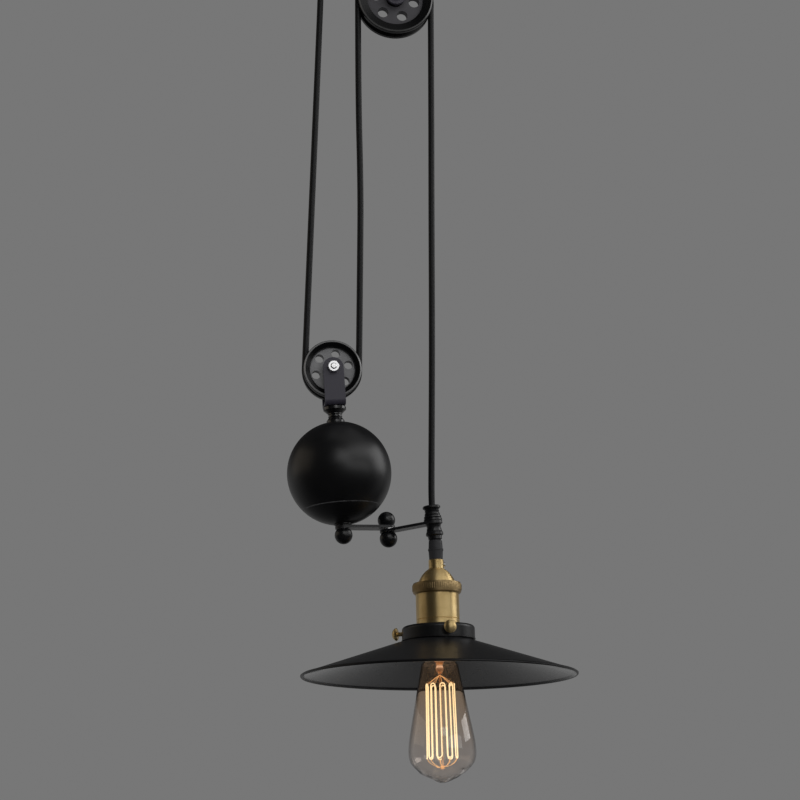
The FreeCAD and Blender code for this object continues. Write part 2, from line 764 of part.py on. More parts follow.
# ---------------------------------------------------------------- hinged bars and guide sleeve
def make_bar(label, place, reach, top, near_hole, far_hole, far_end):
    """Flat bar along its own X from pivot to pivot, top face at this level."""
    body = new_body(label, place)
    half = size("bar_width") / 2
    sketch = new_sketch(body, "XY_Plane", top)
    outline(sketch, [(reach, -half), (reach, half, half, True), (0, half), (0, -half, half, True)])
    pad(body, sketch, size("bar_wall"), backwards=True)
    if far_end is not None:
        eye = new_sketch(body, "XY_Plane", top)
        disc(eye, reach, 0, far_end)
        pad(body, eye, size("bar_wall"), backwards=True)
    holes = new_sketch(body, "XY_Plane")
    disc(holes, 0, 0, near_hole)
    disc(holes, reach, 0, far_hole)
    cut(body, holes)
    return body


def make_arm():
    pivot = size("pivot_clear") * 2
    fit = size("fit_clear") * 2
    make_bar("inner_bar", at(arm_frame, turn=inner_angle), size("inner_reach"), inner_bar_top,
             size("rod_dia") + pivot + size("bar_wall") * arm_slope, size("elbow_pin_dia") + fit,
             None)
    make_bar("outer_bar", at(arm_frame, elbow_x, elbow_y, turn=-outer_angle),
             size("outer_reach"), outer_bar_top, size("elbow_pin_dia") + pivot,
             size("sleeve_spigot_dia") + fit, size("sleeve_belly_dia") - 0.4)
    make_knob("bottom_knob", weight_frame, bottom_knob_top, True, size("rod_dia"))
    make_knob("elbow_upper_knob", elbow_frame, inner_bar_top, False, size("elbow_pin_dia"))
    make_knob("elbow_lower_knob", elbow_frame, outer_bar_foot - size("run_clear"), True,
              size("elbow_pin_dia"))
    pin = size("elbow_pin_dia") / 2
    high = inner_bar_top + size("knob_thread")
    low = outer_bar_foot - size("run_clear") - size("knob_thread")
    turned("elbow_pin", elbow_frame, [
        (0, low), (pin - 0.5, low), (pin, low + 0.5), (pin, high - 0.5), (pin - 0.5, high),
        (0, high)])
    washer = size("washer_dia") / 2
    turned("elbow_washer", elbow_frame, [
        (pin + size("fit_clear"), washer_foot), (washer, washer_foot), (washer, inner_bar_foot),
        (pin + size("fit_clear"), inner_bar_foot)])


def make_sleeve():
    """Turned sleeve round the lamp flex: lip, neck and ribbed belly above the bar, collar below."""
    bore = size("sleeve_bore") / 2
    spigot = size("sleeve_spigot_dia") / 2
    lip = size("sleeve_lip_dia") / 2
    neck = size("sleeve_neck_dia") / 2
    belly = size("sleeve_belly_dia") / 2
    collar = size("sleeve_collar_dia") / 2
    top = sleeve_top
    above = size("sleeve_above")
    low = outer_bar_top
    turned("guide_sleeve", sleeve_frame, [
        (bore, sleeve_foot + 0.6), (spigot, sleeve_foot + 0.6), (spigot, low),
        (belly - 0.5, low), (belly, low + above * 0.05), (belly - 0.2, low + above * 0.16),
        (belly - 0.9, low + above * 0.2), (belly - 0.5, low + above * 0.24),
        (belly - 0.9, low + above * 0.34), (belly - 1.7, low + above * 0.38),
        (belly - 1.3, low + above * 0.42), (belly - 1.8, low + above * 0.52),
        (neck, low + above * 0.6), (neck + 0.6, low + above * 0.66), (neck, low + above * 0.72),
        (lip - 1.2, top - 3.2), (lip, top - 2.2), (lip, top - 0.8), (lip - 0.8, top),
        (bore + 0.8, top), (bore, top - 0.8)])
    seat = spigot + size("fit_clear")
    low = sleeve_foot
    below = outer_bar_foot - sleeve_foot
    throat = low + below * 0.74
    turned("sleeve_nut", sleeve_frame, [
        (seat, outer_bar_foot), (belly - 0.8, outer_bar_foot),
        (belly - 1.8, outer_bar_foot - 1.2), (neck + 0.1, throat + 0.8), (neck, throat),
        (neck + 0.5, throat - 0.7), (neck + 0.9, low + below * 0.52),
        (collar, low + below * 0.4), (collar, low + below * 0.28),
        (neck + 0.2, low + below * 0.2), (neck, low), (seat, low)])


# ---------------------------------------------------------------- lampholder
def make_grip():
    """Moulded cord grip; the flex ends on the floor of its bore."""
    bore = cord_radius + size("cord_clear") / 2
    outer = size("grip_dia") / 2
    ring = size("grip_ring_dia") / 2
    spigot = size("grip_spigot_dia") / 2
    middle = grip_foot / 2
    turned("cord_grip", lamp_frame, [
        (0, cord_end), (bore, cord_end), (bore, 0), (outer - 1.2, 0), (outer - 0.4, -1.0),
        (outer, middle + 1.2), (ring, middle + 0.8), (ring, middle - 0.6),
        (outer + 0.1, middle - 1.0), (outer - 0.4, grip_foot), (spigot, grip_foot),
        (spigot, grip_foot - size("grip_spigot_length")),
        (0, grip_foot - size("grip_spigot_length"))])


def cap_foot_radius():
    """Outside of the dome at its foot."""
    return size("shell_dia") / 2 - size("cap_step")


def make_cap():
    """Brass neck and bell, with a foot inside the knurled ring."""
    wall = size("cap_wall")
    neck = size("cap_neck_dia") / 2
    seat = size("grip_spigot_dia") / 2 + size("fit_clear")
    dome = cap_foot_radius()
    foot = size("shell_dia") / 2 - size("shell_wall") - size("fit_clear")
    low = ring_top - 2.0
    bell = size("cap_dome_length") * 1.7
    body = turned("holder_cap", lamp_frame, [
        (seat, grip_foot), (neck - 0.5, grip_foot), (neck, grip_foot - 0.5),
        (neck, cap_neck_foot + 0.6), (neck + 0.5, cap_neck_foot),
        (dome, ring_top + 0.8, bell, False), (dome + 0.6, ring_top - 0.2), (foot, ring_top - 0.2),
        (foot, low), (dome - wall - 0.6, low), (dome - wall, ring_top + 0.8 - wall * 0.3),
        (neck + 0.5 - wall * 0.54, cap_neck_foot - wall * 0.84, bell - wall, True),
        (seat + 0.6, cap_neck_foot - 1.0), (seat, cap_neck_foot)])
    level = (grip_foot + cap_neck_foot) / 2
    hole = new_sketch(body, "YZ_Plane")
    disc(hole, 0, level, size("grub_dia") + size("fit_clear") * 2)
    side = feature(body, "Pocket", hole)
    side.Reversed = True
    side.setExpression("Length", neck.formula)


def make_grub_screw():
    """Set screw through the side of the neck, against the grip's spigot."""
    tip = size("grip_spigot_dia") / 2 + size("run_clear")
    level = (grip_foot + cap_neck_foot) / 2
    side = at(lamp_frame, up=level.value, turn=90)
    place = side.multiply(Placement(Vector(), Rotation(Vector(1, 0, 0), 90)))
    thread = size("grub_dia") / 2
    outer = size("cap_neck_dia") / 2 + 1.5
    socket = thread * 0.5
    turned("neck_grub_screw", place, [
        (0, tip), (thread - 0.4, tip), (thread, tip + 0.4), (thread, outer - 0.3),
        (thread - 0.3, outer), (socket, outer), (socket, outer - 1.6), (0, outer - 1.6)])


def make_knurled_ring():
    """Ring that screws the cap on the shell."""
    outer = size("shell_dia") / 2 + size("ring_stand")
    inner = size("shell_dia") / 2 + size("fit_clear")
    lip = cap_foot_radius() + 0.6 + size("fit_clear")
    rise = ring_top - 0.2 + size("fit_clear")
    turned("knurled_ring", lamp_frame, [
        (inner, ring_foot), (outer - 2.2, ring_foot), (outer - 0.8, ring_foot + 1.2),
        (outer, ring_foot + 3.4), (outer, ring_top - 1.2), (outer - 1.4, ring_top + 0.6),
        (lip, ring_top + 0.6), (lip, rise), (inner, rise)])


def make_shell():
    """Brass shell with a groove above its plain lip, its foot turned in over the fitter."""
    outer = size("shell_dia") / 2
    wall = size("shell_wall")
    groove = shell_foot + size("shell_lip")
    top = ring_top - 0.4
    skirt = size("skirt_dia") / 2 + size("fit_clear")
    turned("holder_shell", lamp_frame, [
        (skirt, shell_foot), (outer + 0.6, shell_foot), (outer + 0.6, shell_foot + 0.8),
        (outer, shell_foot + 1.6), (outer, groove - 0.4), (outer - 0.5, groove),
        (outer, groove + 0.4), (outer, top), (outer - wall, top), (outer - wall, shell_foot + wall),
        (skirt, shell_foot + wall)])


def make_socket():
    """Insulating socket with its screw shell and centre contact, and the ring under the fitter."""
    outer = size("skirt_dia") / 2
    bore = size("bulb_cap_dia") / 2 + 1.3
    thread = bore - 0.2
    head = size("shell_dia") / 2 - size("shell_wall") - size("fit_clear")
    seat = shell_foot + size("shell_wall")
    top = ring_foot
    floor = bulb_top + 4.0
    turned("socket_insulator", lamp_frame, [
        (0, floor), (bore, floor), (bore, skirt_foot), (outer - 0.6, skirt_foot),
        (outer, skirt_foot + 0.6), (outer, seat), (head, seat), (head, top), (0, top)])
    turned("socket_screw_shell", lamp_frame, [
        (bore - size("fit_clear"), floor), (bore - size("fit_clear"), skirt_foot + 4),
        (thread - 0.6, skirt_foot + 4), (thread - 0.6, floor)])
    turned("centre_contact", lamp_frame, [
        (0, bulb_top + size("run_clear")), (3.0, bulb_top + size("run_clear")),
        (4.5, bulb_top + 1.2), (4.5, floor), (0, floor)])
    clamp = size("clamp_ring_dia") / 2
    high = fitter_top - size("fitter_wall")
    turned("shade_clamp_ring", lamp_frame, [
        (outer + size("fit_clear"), high), (clamp, high), (clamp, high - 2.0),
        (outer + 3.0, high - 2.6), (outer + 3.0, high - size("clamp_ring_depth")),
        (outer + size("fit_clear"), high - size("clamp_ring_depth"))])


def make_fitter():
    """Black cup that holds the shade's neck, with three screw holes round it."""
    outer = size("fitter_dia") / 2
    wall = size("fitter_wall")
    edge = size("fitter_edge")
    lip = outer + size("fitter_lip")
    hole = size("skirt_dia") / 2 + size("fit_clear")
    body = turned("fitter_cup", lamp_frame, [
        (hole, fitter_top), (outer - edge, fitter_top), (outer, fitter_top - edge, edge, False),
        (outer, fitter_foot + 1.4), (lip, fitter_foot + 1.0), (lip, fitter_foot + 0.3),
        (outer, fitter_foot), (outer - wall, fitter_foot), (outer - wall, fitter_top - edge),
        (outer - edge, fitter_top - wall), (hole, fitter_top - wall)])
    for number, turn in enumerate(screw_turns()):
        sketch = new_sketch(body, "XZ_Plane")
        sketch.AttachmentOffset = Placement(Vector(), Rotation(Vector(0, 1, 0), turn))
        disc(sketch, 0, screw_level, size("screw_shank_dia") + size("run_clear") * 2)
        hole_cut = feature(body, "Pocket", sketch, str(number))
        hole_cut.Reversed = True
        hole_cut.setExpression("Length", outer.formula)


def screw_turns():
    return [size("screw_turn").value + 120 * index for index in range(3)]


def make_thumbscrew(label, turn):
    """Brass thumbscrew with a domed head, pointing at the lamp's axis."""
    shank = size("screw_shank_dia") / 2
    head = size("screw_head_dia") / 2
    seat = size("screw_circle") / 2
    tip = size("shade_neck_dia") / 2 + size("run_clear")
    deep = size("screw_head_depth")
    spin = at(lamp_frame, up=screw_level.value, turn=turn)
    place = spin.multiply(Placement(Vector(), Rotation(Vector(1, 0, 0), 90)))
    turned(label, place, [
        (0, tip), (shank - 0.6, tip), (shank, tip + 0.6), (shank, seat), (head - 1.2, seat),
        (head, seat + 1.0), (head, seat + 1.6),
        (0, seat + deep, dome_radius(head, deep - 1.6), True)])


def dome_radius(half, rise):
    """Radius of an arc from a rim at this half width to an apex at this rise."""
    return (half * half + rise * rise) / (rise * 2)


def make_shade():
    """Spun steel shade: short neck in the fitter, wide shallow cone, beaded rim."""
    wall = size("shade_wall")
    neck = size("shade_neck_dia") / 2
    throat = size("fitter_dia") / 2
    rim = size("shade_dia") / 2
    bead = size("shade_bead") / 2
    low = shade_top - size("shade_depth")
    ledge = shade_top - size("run_clear") - throat * math.radians(size("shade_tilt").value)
    slant = wall * 1.07
    neck_top = fitter_top - size("fitter_wall") - 2.0
    turned("shade", shade_frame, [
        (neck, neck_top), (neck, ledge + 0.2), (throat, ledge),
        (rim - bead * 2, low + bead * 2), (rim - bead, low + bead * 2),
        (rim, low + bead * 1.4), (rim, low + bead * 0.6), (rim - bead * 0.6, low),
        (rim - bead * 1.4, low), (rim - bead * 2, low + bead * 0.6),
        (rim - bead * 3.2, low + bead * 2.8 - slant),
        (throat, ledge - slant), (neck - wall, ledge + 0.2 - wall),
        (neck - wall, neck_top)])


# ---------------------------------------------------------------- bulb
def make_bulb():
    """Squirrel-cage bulb: screw cap, contact, long glass, stem and filament."""
    cap = size("bulb_cap_dia") / 2
    wall = size("glass_wall")
    turned("bulb_tip_contact", lamp_frame, [
        (0, bulb_top), (3.2, bulb_top - 0.3), (4.8, bulb_top - 1.5), (4.8, bulb_top - 2.2),
        (0, bulb_top - 2.2)])
    turned("bulb_insulator", lamp_frame, [
        (0, bulb_top - 2.2), (5.2, bulb_top - 2.2), (9.0, bulb_top - 5.5), (0, bulb_top - 5.5)])
    pitch = 3.6
    start = bulb_top - 7.5
    thread = []
    for turn in range(4):
        thread += [(cap, start - pitch * (turn + 0.5)), (cap - 1.0, start - pitch * (turn + 1))]
    turned("bulb_cap", lamp_frame, [
        (0, bulb_top - 5.5), (9.0, bulb_top - 5.5), (cap - 1.0, start)] + thread + [
        (cap - 0.2, bulb_cap_foot + 1.0), (cap - 0.2, bulb_cap_foot), (0, bulb_cap_foot)])
    make_glass(cap - 0.2, bulb_cap_foot - size("run_clear"), wall)
    make_stem(cap - 0.8 - wall, bulb_cap_foot - size("run_clear"))


def make_glass(mouth, top, wall):
    """Long pear of blown glass: shoulder, straight flare, wide belly, blunt tip."""
    tip = bulb_tip
    shoulder = size("glass_shoulder_dia") / 2
    belly = size("bulb_dia") / 2 - 1.6
    turn_in = belly - 0.4
    shoulder_level = top - 5.0
    belly_level = tip + 43.0
    turn_level = tip + 18.3
    under = belly * 0.7
    under_level = tip + 9.2
    nose = 6.0
    nose_level = tip + 1.5
    turned("bulb_glass", lamp_frame, [
        (mouth, top), (shoulder, shoulder_level, 7.0, False), (belly, belly_level),
        (turn_in, turn_level, 45.0, False), (under, under_level, 16.0, False),
        (nose, nose_level, 40.0, False), (0, tip, dome_radius(nose, 1.5), False), (0, tip + wall),
        (nose, nose_level + wall, dome_radius(nose, 1.5), True),
        (under - wall * 0.7, under_level + wall * 0.7, 40.0, True),
        (turn_in - wall, turn_level + wall * 0.2, sized(16.0) - wall, True),
        (belly - wall, belly_level, sized(45.0) - wall, True),
        (shoulder - wall, shoulder_level - wall * 0.3), (mouth - wall, top, sized(7.0) - wall, True)])


def make_stem(flare, top):
    """Glass stem: flare, pinched press and the rod that ends inside the foot of the filament."""
    foot = bulb_tip + size("stem_clear")
    press = size("stem_dia") / 2
    turned("bulb_stem", lamp_frame, [
        (0, top - 0.6), (flare, top - 0.6), (press - 0.6, top - 3.5),
        (press - 1.4, top - 6.0), (press, top - 8.0), (press - 0.6, top - 11.0), (1.3, top - 15.0),
        (1.3, foot + 3.0), (2.4, foot + 2.0), (2.4, foot + 0.6), (0, foot)])


def cage_point(turn, radius, level):
    turn = math.radians(turn)
    return Vector(radius * math.cos(turn), radius * math.sin(turn), level)


def wire_section(centre, along, radius):
    """Six-sided section of a fine wire."""
    spin = Rotation(Vector(0, 0, 1), along)
    ring = [Vector(math.cos(math.pi / 3 * n), math.sin(math.pi / 3 * n), 0) * radius for n in range(7)]
    return Part.makePolygon([centre + spin.multVec(p) for p in ring])


def make_filament():
    """One wire up and down round a cage, with thin supports from the stem to its bends."""
    strands = int(size("filament_strands").value)
    step = 360 / strands
    top = bulb_top.value - size("filament_start").value
    foot = (bulb_tip + size("filament_clear")).value
    high = size("filament_top_dia").value / 2
    low = size("filament_foot_dia").value / 2
    points = []
    for strand in range(strands):
        pair = [cage_point(strand * step, high, top), cage_point(strand * step, low, foot)]
        points += pair if strand % 2 else pair[::-1]
    wire = size("filament_dia").value / 2
    edges = [Part.LineSegment(a, b).toShape() for a, b in zip(points, points[1:])]
    section = wire_section(points[0], points[1] - points[0], wire)
    shape = Part.Wire(edges).makePipeShell([section], True, False, 1)
    shape.Placement = lamp_frame
    stand_alone("bulb_filament", shape)

    stem_top = (bulb_cap_foot - size("run_clear")).value
    stem_foot = (bulb_tip + size("stem_clear")).value
    inset = math.cos(math.radians(step / 2))
    bends = [(stem_top - 15.0, cage_point((n + 0.5) * step, high * inset, top))
             for n in range(0, strands, 2)]
    bends += [(stem_foot + 1.3, cage_point((n + 0.5) * step, low * inset, foot))
              for n in range(1, strands - 1, 2)]
    rods = []
    for hub, bend in bends:
        reach = bend - Vector(0, 0, hub)
        end = Vector(0, 0, hub) + reach * (1 - (wire + 0.1) / reach.Length)
        section = Part.Face(wire_section(Vector(0, 0, hub), reach, wire * 0.55))
        rods.append(section.extrude(end - Vector(0, 0, hub)))
    shape = rods[0].multiFuse(rods[1:])
    shape = shape.cut(stem_core(stem_top, stem_foot))
    shape.Placement = lamp_frame
    stand_alone("filament_supports", shape)


def stem_core(top, foot):
    """What the supports leave free for the glass stem."""
    rod = Part.makeCylinder(1.4, top - foot - 14.0, Vector(0, 0, foot + 1.0))
    bead = Part.makeCylinder(2.5, 4.0, Vector(0, 0, foot - 0.5))
    return rod.fuse(bead)


# ---------------------------------------------------------------- flex
def tangent_point(centre, radius, outside, side):
    """Where a straight flex from this point meets its wheel; side is -1 left, 1 right."""
    away = outside - centre
    turn = math.acos(radius / away.Length)
    base = math.atan2(away.z, away.x)
    both = [centre + Vector(math.cos(a), 0, math.sin(a)) * radius for a in (base - turn, base + turn)]
    return sorted(both, key=lambda p: p.x * side)[-1]


def route(points):
    """Straight runs joined by arcs as large as the runs allow; prints each radius."""
    edges = []
    start = points[0]
    radii = []
    for before, corner, after in zip(points, points[1:], points[2:]):
        back, on = before - corner, after - corner
        half_turn = (math.pi - back.getAngle(on)) / 2
        cut_back = 0.45 * min(back.Length, on.Length)
        radii.append(round(cut_back / math.tan(half_turn)))
        first = corner + back.normalize() * cut_back
        last = corner + on.normalize() * cut_back
        inward = (back + on).normalize()
        bend = cut_back / math.tan(half_turn)
        middle = corner + inward * (math.hypot(cut_back, bend) - bend)
        edges.append(Part.LineSegment(start, first).toShape())
        edges.append(Part.Arc(first, middle, last).toShape())
        start = last
    edges.append(Part.LineSegment(start, points[-1]).toShape())
    return Part.Wire(edges), radii


def make_flex(label, path, radii=()):
    radius = cord_radius.value
    start = path.Edges[0]
    section = Part.Wire(Part.Circle(start.valueAt(start.FirstParameter),
                                    start.tangentAt(start.FirstParameter), radius).toShape())
    shape = path.makePipeShell([section], True, False)
    drift = shape.Volume / (math.pi * radius ** 2 * path.Length) - 1
    print(f"{label}: {path.Length:.1f} mm, radii {list(radii)}, volume off by {drift:.4%}")
    stand_alone(label, shape)


def wrap(centre, radius, first, last, up):
    middle = centre + Vector(0, 0, radius if up else -radius)
    return Part.Wire([Part.Arc(first, middle, last).toShape()])


def make_flexes():
    """Five stretches: down to the weight, round it, up, over the fixed wheel, down to the lamp."""
    upper, lower = upper_pitch.value, lower_pitch.value
    gland_top = Vector(-hanger_x, 0, 8 - size("canopy_depth").value)
    left = [gland_top, Vector(-37.5, 0, -56), Vector(-39.2, 0, -125), Vector(-42.6, 0, -240),
            Vector(-46.2, 0, -360)]
    left.append(tangent_point(weight_axle, lower, left[-1], -1))
    middle = [Vector(3.4, 0, -372), Vector(3.6, 0, -300), Vector(0.6, 0, -195)]
    middle.insert(0, tangent_point(weight_axle, lower, middle[0], 1))
    middle.append(tangent_point(fixed_axle, upper, middle[-1], -1))
    right = [Vector(75.7, 0, -205), Vector(74.9, 0, -330), Vector(74.7, 0, -455),
             Vector(73.6, 0, -570), Vector(74.0, 0, -622)]
    right.insert(0, tangent_point(fixed_axle, upper, right[0], 1))
    right.append(lamp_frame.multVec(Vector(0, 0, 8)))
    right.append(lamp_frame.multVec(Vector(0, 0, cord_end.value)))
    make_flex("cord_left_run", *route(left))
    make_flex("cord_lower_wrap", wrap(weight_axle, lower, left[-1], middle[0], False))
    make_flex("cord_middle_run", *route(middle))
    make_flex("cord_upper_wrap", wrap(fixed_axle, upper, middle[-1], right[0], True))
    make_flex("cord_lamp_run", *route(right))


# ---------------------------------------------------------------- the whole pendant
cord_end = Size(-8.0)
upside_down = Placement(Vector(), Rotation(Vector(1, 0, 0), 180))

make_bracket()
make_canopy()
make_terminal_block()
make_spacer()
make_hanger_rod()
make_nut("hanger_nut", hanger_frame, size("rod_nut_flats"), size("rod_nut_depth"),
         size("hanger_rod_dia") + size("fit_clear") * 2,
         size("bracket_wall") - size("bracket_drop"))
turned_neck("hanger_neck", hanger_frame.multiply(upside_down),
            size("upper_axle_drop") - outer_fork_upper, size("canopy_depth"))
make_gland()
make_fork("upper_fork", fixed_frame.multiply(upside_down), inner_fork_upper,
          size("hanger_rod_dia"), size("strap_bend"))
make_wheel("upper_pulley", facing(fixed_frame, size("upper_wheel_turn").value),
           size("upper_wheel_dia"), upper_pitch, size("upper_web_dia"),
           size("upper_hole_circle"), size("upper_hole_dia"))
make_axle("upper", fixed_frame)
make_fork("lower_fork", weight_frame, inner_fork_lower, size("rod_dia"), size("strap_bend"))
make_wheel("lower_pulley", facing(weight_frame, size("lower_wheel_turn").value),
           size("lower_wheel_dia"), lower_pitch, size("lower_web_dia"),
           size("lower_hole_circle"), size("lower_hole_dia"))
make_axle("lower", weight_frame)
turned_neck("weight_neck", weight_frame, -outer_fork_lower,
            ball_centre + leg(size("ball_dia") / 2, size("neck_foot_dia") / 2))
make_ball()
make_weight_rod()
make_arm()
make_sleeve()
make_grip()
make_cap()
make_grub_screw()
make_knurled_ring()
make_shell()
make_socket()
make_fitter()
for name, turn in zip(("front", "right", "left"), screw_turns()):
    make_thumbscrew(f"thumbscrew_{name}", turn)
make_shade()
make_bulb()
make_filament()
make_flexes()

doc.recompute()
failed = [item.Label for item in doc.Objects if {"Invalid", "Error"} & set(item.State)]
for item in made:
    shape = item.Shape
    if shape.isNull() or not shape.isValid() or not shape.Solids:
        failed.append(item.Label)
if failed:
    raise RuntimeError(f"failed: {sorted(set(failed))}")

os.makedirs("parts", exist_ok=True)
for item in made:
    item.Shape.exportStep(f"parts/{item.Label}.step")
print(f"{len(made)} nodes written")
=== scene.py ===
import json
import math

import bmesh
import bpy
from mathutils import Matrix, Vector


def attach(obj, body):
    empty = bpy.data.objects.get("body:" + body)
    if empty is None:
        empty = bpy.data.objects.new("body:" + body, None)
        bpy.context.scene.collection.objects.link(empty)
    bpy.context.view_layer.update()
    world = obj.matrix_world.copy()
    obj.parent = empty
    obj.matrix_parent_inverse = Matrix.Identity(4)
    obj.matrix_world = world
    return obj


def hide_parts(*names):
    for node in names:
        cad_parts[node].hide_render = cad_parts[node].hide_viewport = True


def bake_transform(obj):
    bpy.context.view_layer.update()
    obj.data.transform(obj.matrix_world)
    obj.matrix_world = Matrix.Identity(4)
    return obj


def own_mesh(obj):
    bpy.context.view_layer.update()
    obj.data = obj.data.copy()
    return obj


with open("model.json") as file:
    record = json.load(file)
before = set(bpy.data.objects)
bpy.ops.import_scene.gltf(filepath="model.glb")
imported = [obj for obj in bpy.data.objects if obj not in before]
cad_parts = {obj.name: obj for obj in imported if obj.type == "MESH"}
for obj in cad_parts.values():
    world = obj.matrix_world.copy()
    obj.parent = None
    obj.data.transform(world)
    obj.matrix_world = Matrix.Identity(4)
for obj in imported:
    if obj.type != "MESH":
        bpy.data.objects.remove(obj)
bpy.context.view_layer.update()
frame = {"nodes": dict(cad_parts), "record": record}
nodes = frame["nodes"]
print("frame loaded:", len(nodes), "nodes")


# small helpers for modelling
def putDown():
    if bpy.context.object and bpy.context.object.mode != "OBJECT":
        bpy.ops.object.mode_set(mode="OBJECT")
    bpy.ops.object.select_all(action="DESELECT")


def pickUp(piece):
    putDown()
    piece.select_set(True)
    bpy.context.view_layer.objects.active = piece


def startPoint(name, place):
    # a plane merged to one point, from which a profile or a wire is drawn
    putDown()
    bpy.ops.mesh.primitive_plane_add(size=0.001, location=place)
    piece = bpy.context.object
    piece.name = name
    bpy.ops.object.transform_apply(location=True, rotation=True, scale=True)
    bpy.ops.object.mode_set(mode="EDIT")
    bpy.ops.mesh.select_all(action="SELECT")
    bpy.ops.mesh.merge(type="CENTER")
    return piece


def drawLine(name, points):
    # points in millimetres, joined by edges; left in edit mode
    corners = [Vector(p) / 1000 for p in points]
    piece = startPoint(name, corners[0])
    for before, after in zip(corners, corners[1:]):
        bpy.ops.mesh.extrude_region_move(TRANSFORM_OT_translate={"value": after - before})
    return piece


def mergeDoubles():
    bpy.ops.mesh.select_all(action="SELECT")
    bpy.ops.mesh.remove_doubles(threshold=0.000005)


def spun(name, profile, steps, home):
    # a profile of (radius, height) in millimetres turned about the lamp's own axis
    piece = drawLine(name, [(radius, 0, height) for radius, height in profile])
    bpy.ops.mesh.select_all(action="SELECT")
    bpy.ops.mesh.spin(steps=steps, angle=math.tau, center=(0, 0, 0), axis=(0, 0, 1))
    mergeDoubles()
    bpy.ops.mesh.normals_make_consistent(inside=False)
    bpy.ops.object.mode_set(mode="OBJECT")
    piece.data.transform(home)
    return piece


def wired(name, points, copies, thickness, home):
    # one bent wire, repeated round the lamp's axis and given its thickness
    piece = drawLine(name, points)
    bpy.ops.mesh.select_all(action="SELECT")
    bpy.ops.mesh.spin(steps=copies, dupli=True, angle=math.tau, center=(0, 0, 0), axis=(0, 0, 1))
    mergeDoubles()
    pickUp(piece)
    bpy.ops.object.convert(target="CURVE")
    piece.data.bevel_depth = thickness / 2000
    piece.data.bevel_resolution = 1
    piece.data.use_fill_caps = True
    bpy.ops.object.convert(target="MESH")
    piece = bpy.context.object
    piece.data.transform(home)
    return piece


def smooth(piece, angle=35):
    pickUp(piece)
    bpy.ops.object.shade_smooth_by_angle(angle=math.radians(angle))


def dress(piece, material):
    piece.data.materials.clear()
    piece.data.materials.append(material)


# camera, at the photograph's place
photoCamera = {"lens": 87.06, "sensor": 36, "nearest": 0.05, "place": (-0.195, -1.804, -0.9776),
               "tilt": 104.272, "turn": -7.343, "shift": 0.007}


def makeCamera(facts):
    data = bpy.data.cameras.new("photoCamera")
    data.lens = facts["lens"]
    data.sensor_width = facts["sensor"]
    data.shift_x = facts["shift"]
    data.clip_start = facts["nearest"]
    camera = bpy.data.objects.new("photoCamera", data)
    bpy.context.scene.collection.objects.link(camera)
    camera.location = facts["place"]
    camera.rotation_euler = (math.radians(facts["tilt"]), 0, math.radians(facts["turn"]))
    bpy.context.scene.camera = camera


makeCamera(photoCamera)
print("camera placed")

# the flex: five stretches of one round black cord
flex = {"diameter": 0.0062, "sides": 20, "fineness": 24, "wrapCorners": 6, "travel": 0.29,
        "lampTop": (0.075, 0, -0.0928), "lampFoot": (0.075, 0, -0.63)}  # travel is the weight's way up
# centres and pitch radii in metres; where the flex meets and leaves the wheel, in degrees
wheels = {
    "upper": {"centre": (0.0375, 0, -0.093), "pitch": 0.0375, "start": 0, "end": 180},
    "lower": {"centre": (-0.0236, 0, -0.4877), "pitch": 0.0263, "start": 178.33, "end": 360.35},
}
# routes in millimetres, across and up; lengths in metres
runs = {
    "cord_left_run": {
        "route": [(-37.5, -18), (-37.5, -56), (-39.2, -125), (-42.6, -240), (-46.2, -360), (-49.889, -486.936)],
        "length": 0.4691},
    "cord_middle_run": {
        "route": [(2.7, -487.859), (3.4, -372), (3.6, -300), (0.6, -195), (0.0, -93.221)],
        "length": 0.3947},
    "cord_lamp_run": {
        "route": [(74.999, -92.766), (75.1, -205), (74.7, -330), (74.7, -455), (73.6, -570), (73.2, -620),
                  (76.689, -643.843), (77.135, -659.837)],
        "length": 0.5672},
}


def wheelCorners(wheel):
    # corners of the route round a wheel; the spline touches the pitch circle between them
    count = flex["wrapCorners"]
    step = math.radians(wheel["end"] - wheel["start"]) / count
    reach = wheel["pitch"] / math.cos(step / 2)
    first = math.radians(wheel["start"])
    spots = [(first, wheel["pitch"])]
    spots += [(first + step * (n + 0.5), reach) for n in range(count)]
    spots.append((first + step * count, wheel["pitch"]))
    middle = Vector(wheel["centre"])
    return [middle + Vector((math.cos(a), 0, math.sin(a))) * r for a, r in spots]


def splinePoints(name, corners, resolution):
    data = bpy.data.curves.new(name + "Line", "CURVE")
    data.dimensions = "3D"
    spline = data.splines.new("NURBS")
    spline.points.add(len(corners) - 1)
    for point, corner in zip(spline.points, corners):
        point.co = (*corner, 1)
    spline.order_u = 3
    spline.use_endpoint_u = True
    spline.resolution_u = resolution
    line = bpy.data.objects.new(name + "Line", data)
    bpy.context.scene.collection.objects.link(line)
    bpy.context.view_layer.update()
    mesh = bpy.data.meshes.new_from_object(line)
    points = [v.co.copy() for v in mesh.vertices]
    bpy.data.objects.remove(line)
    return points


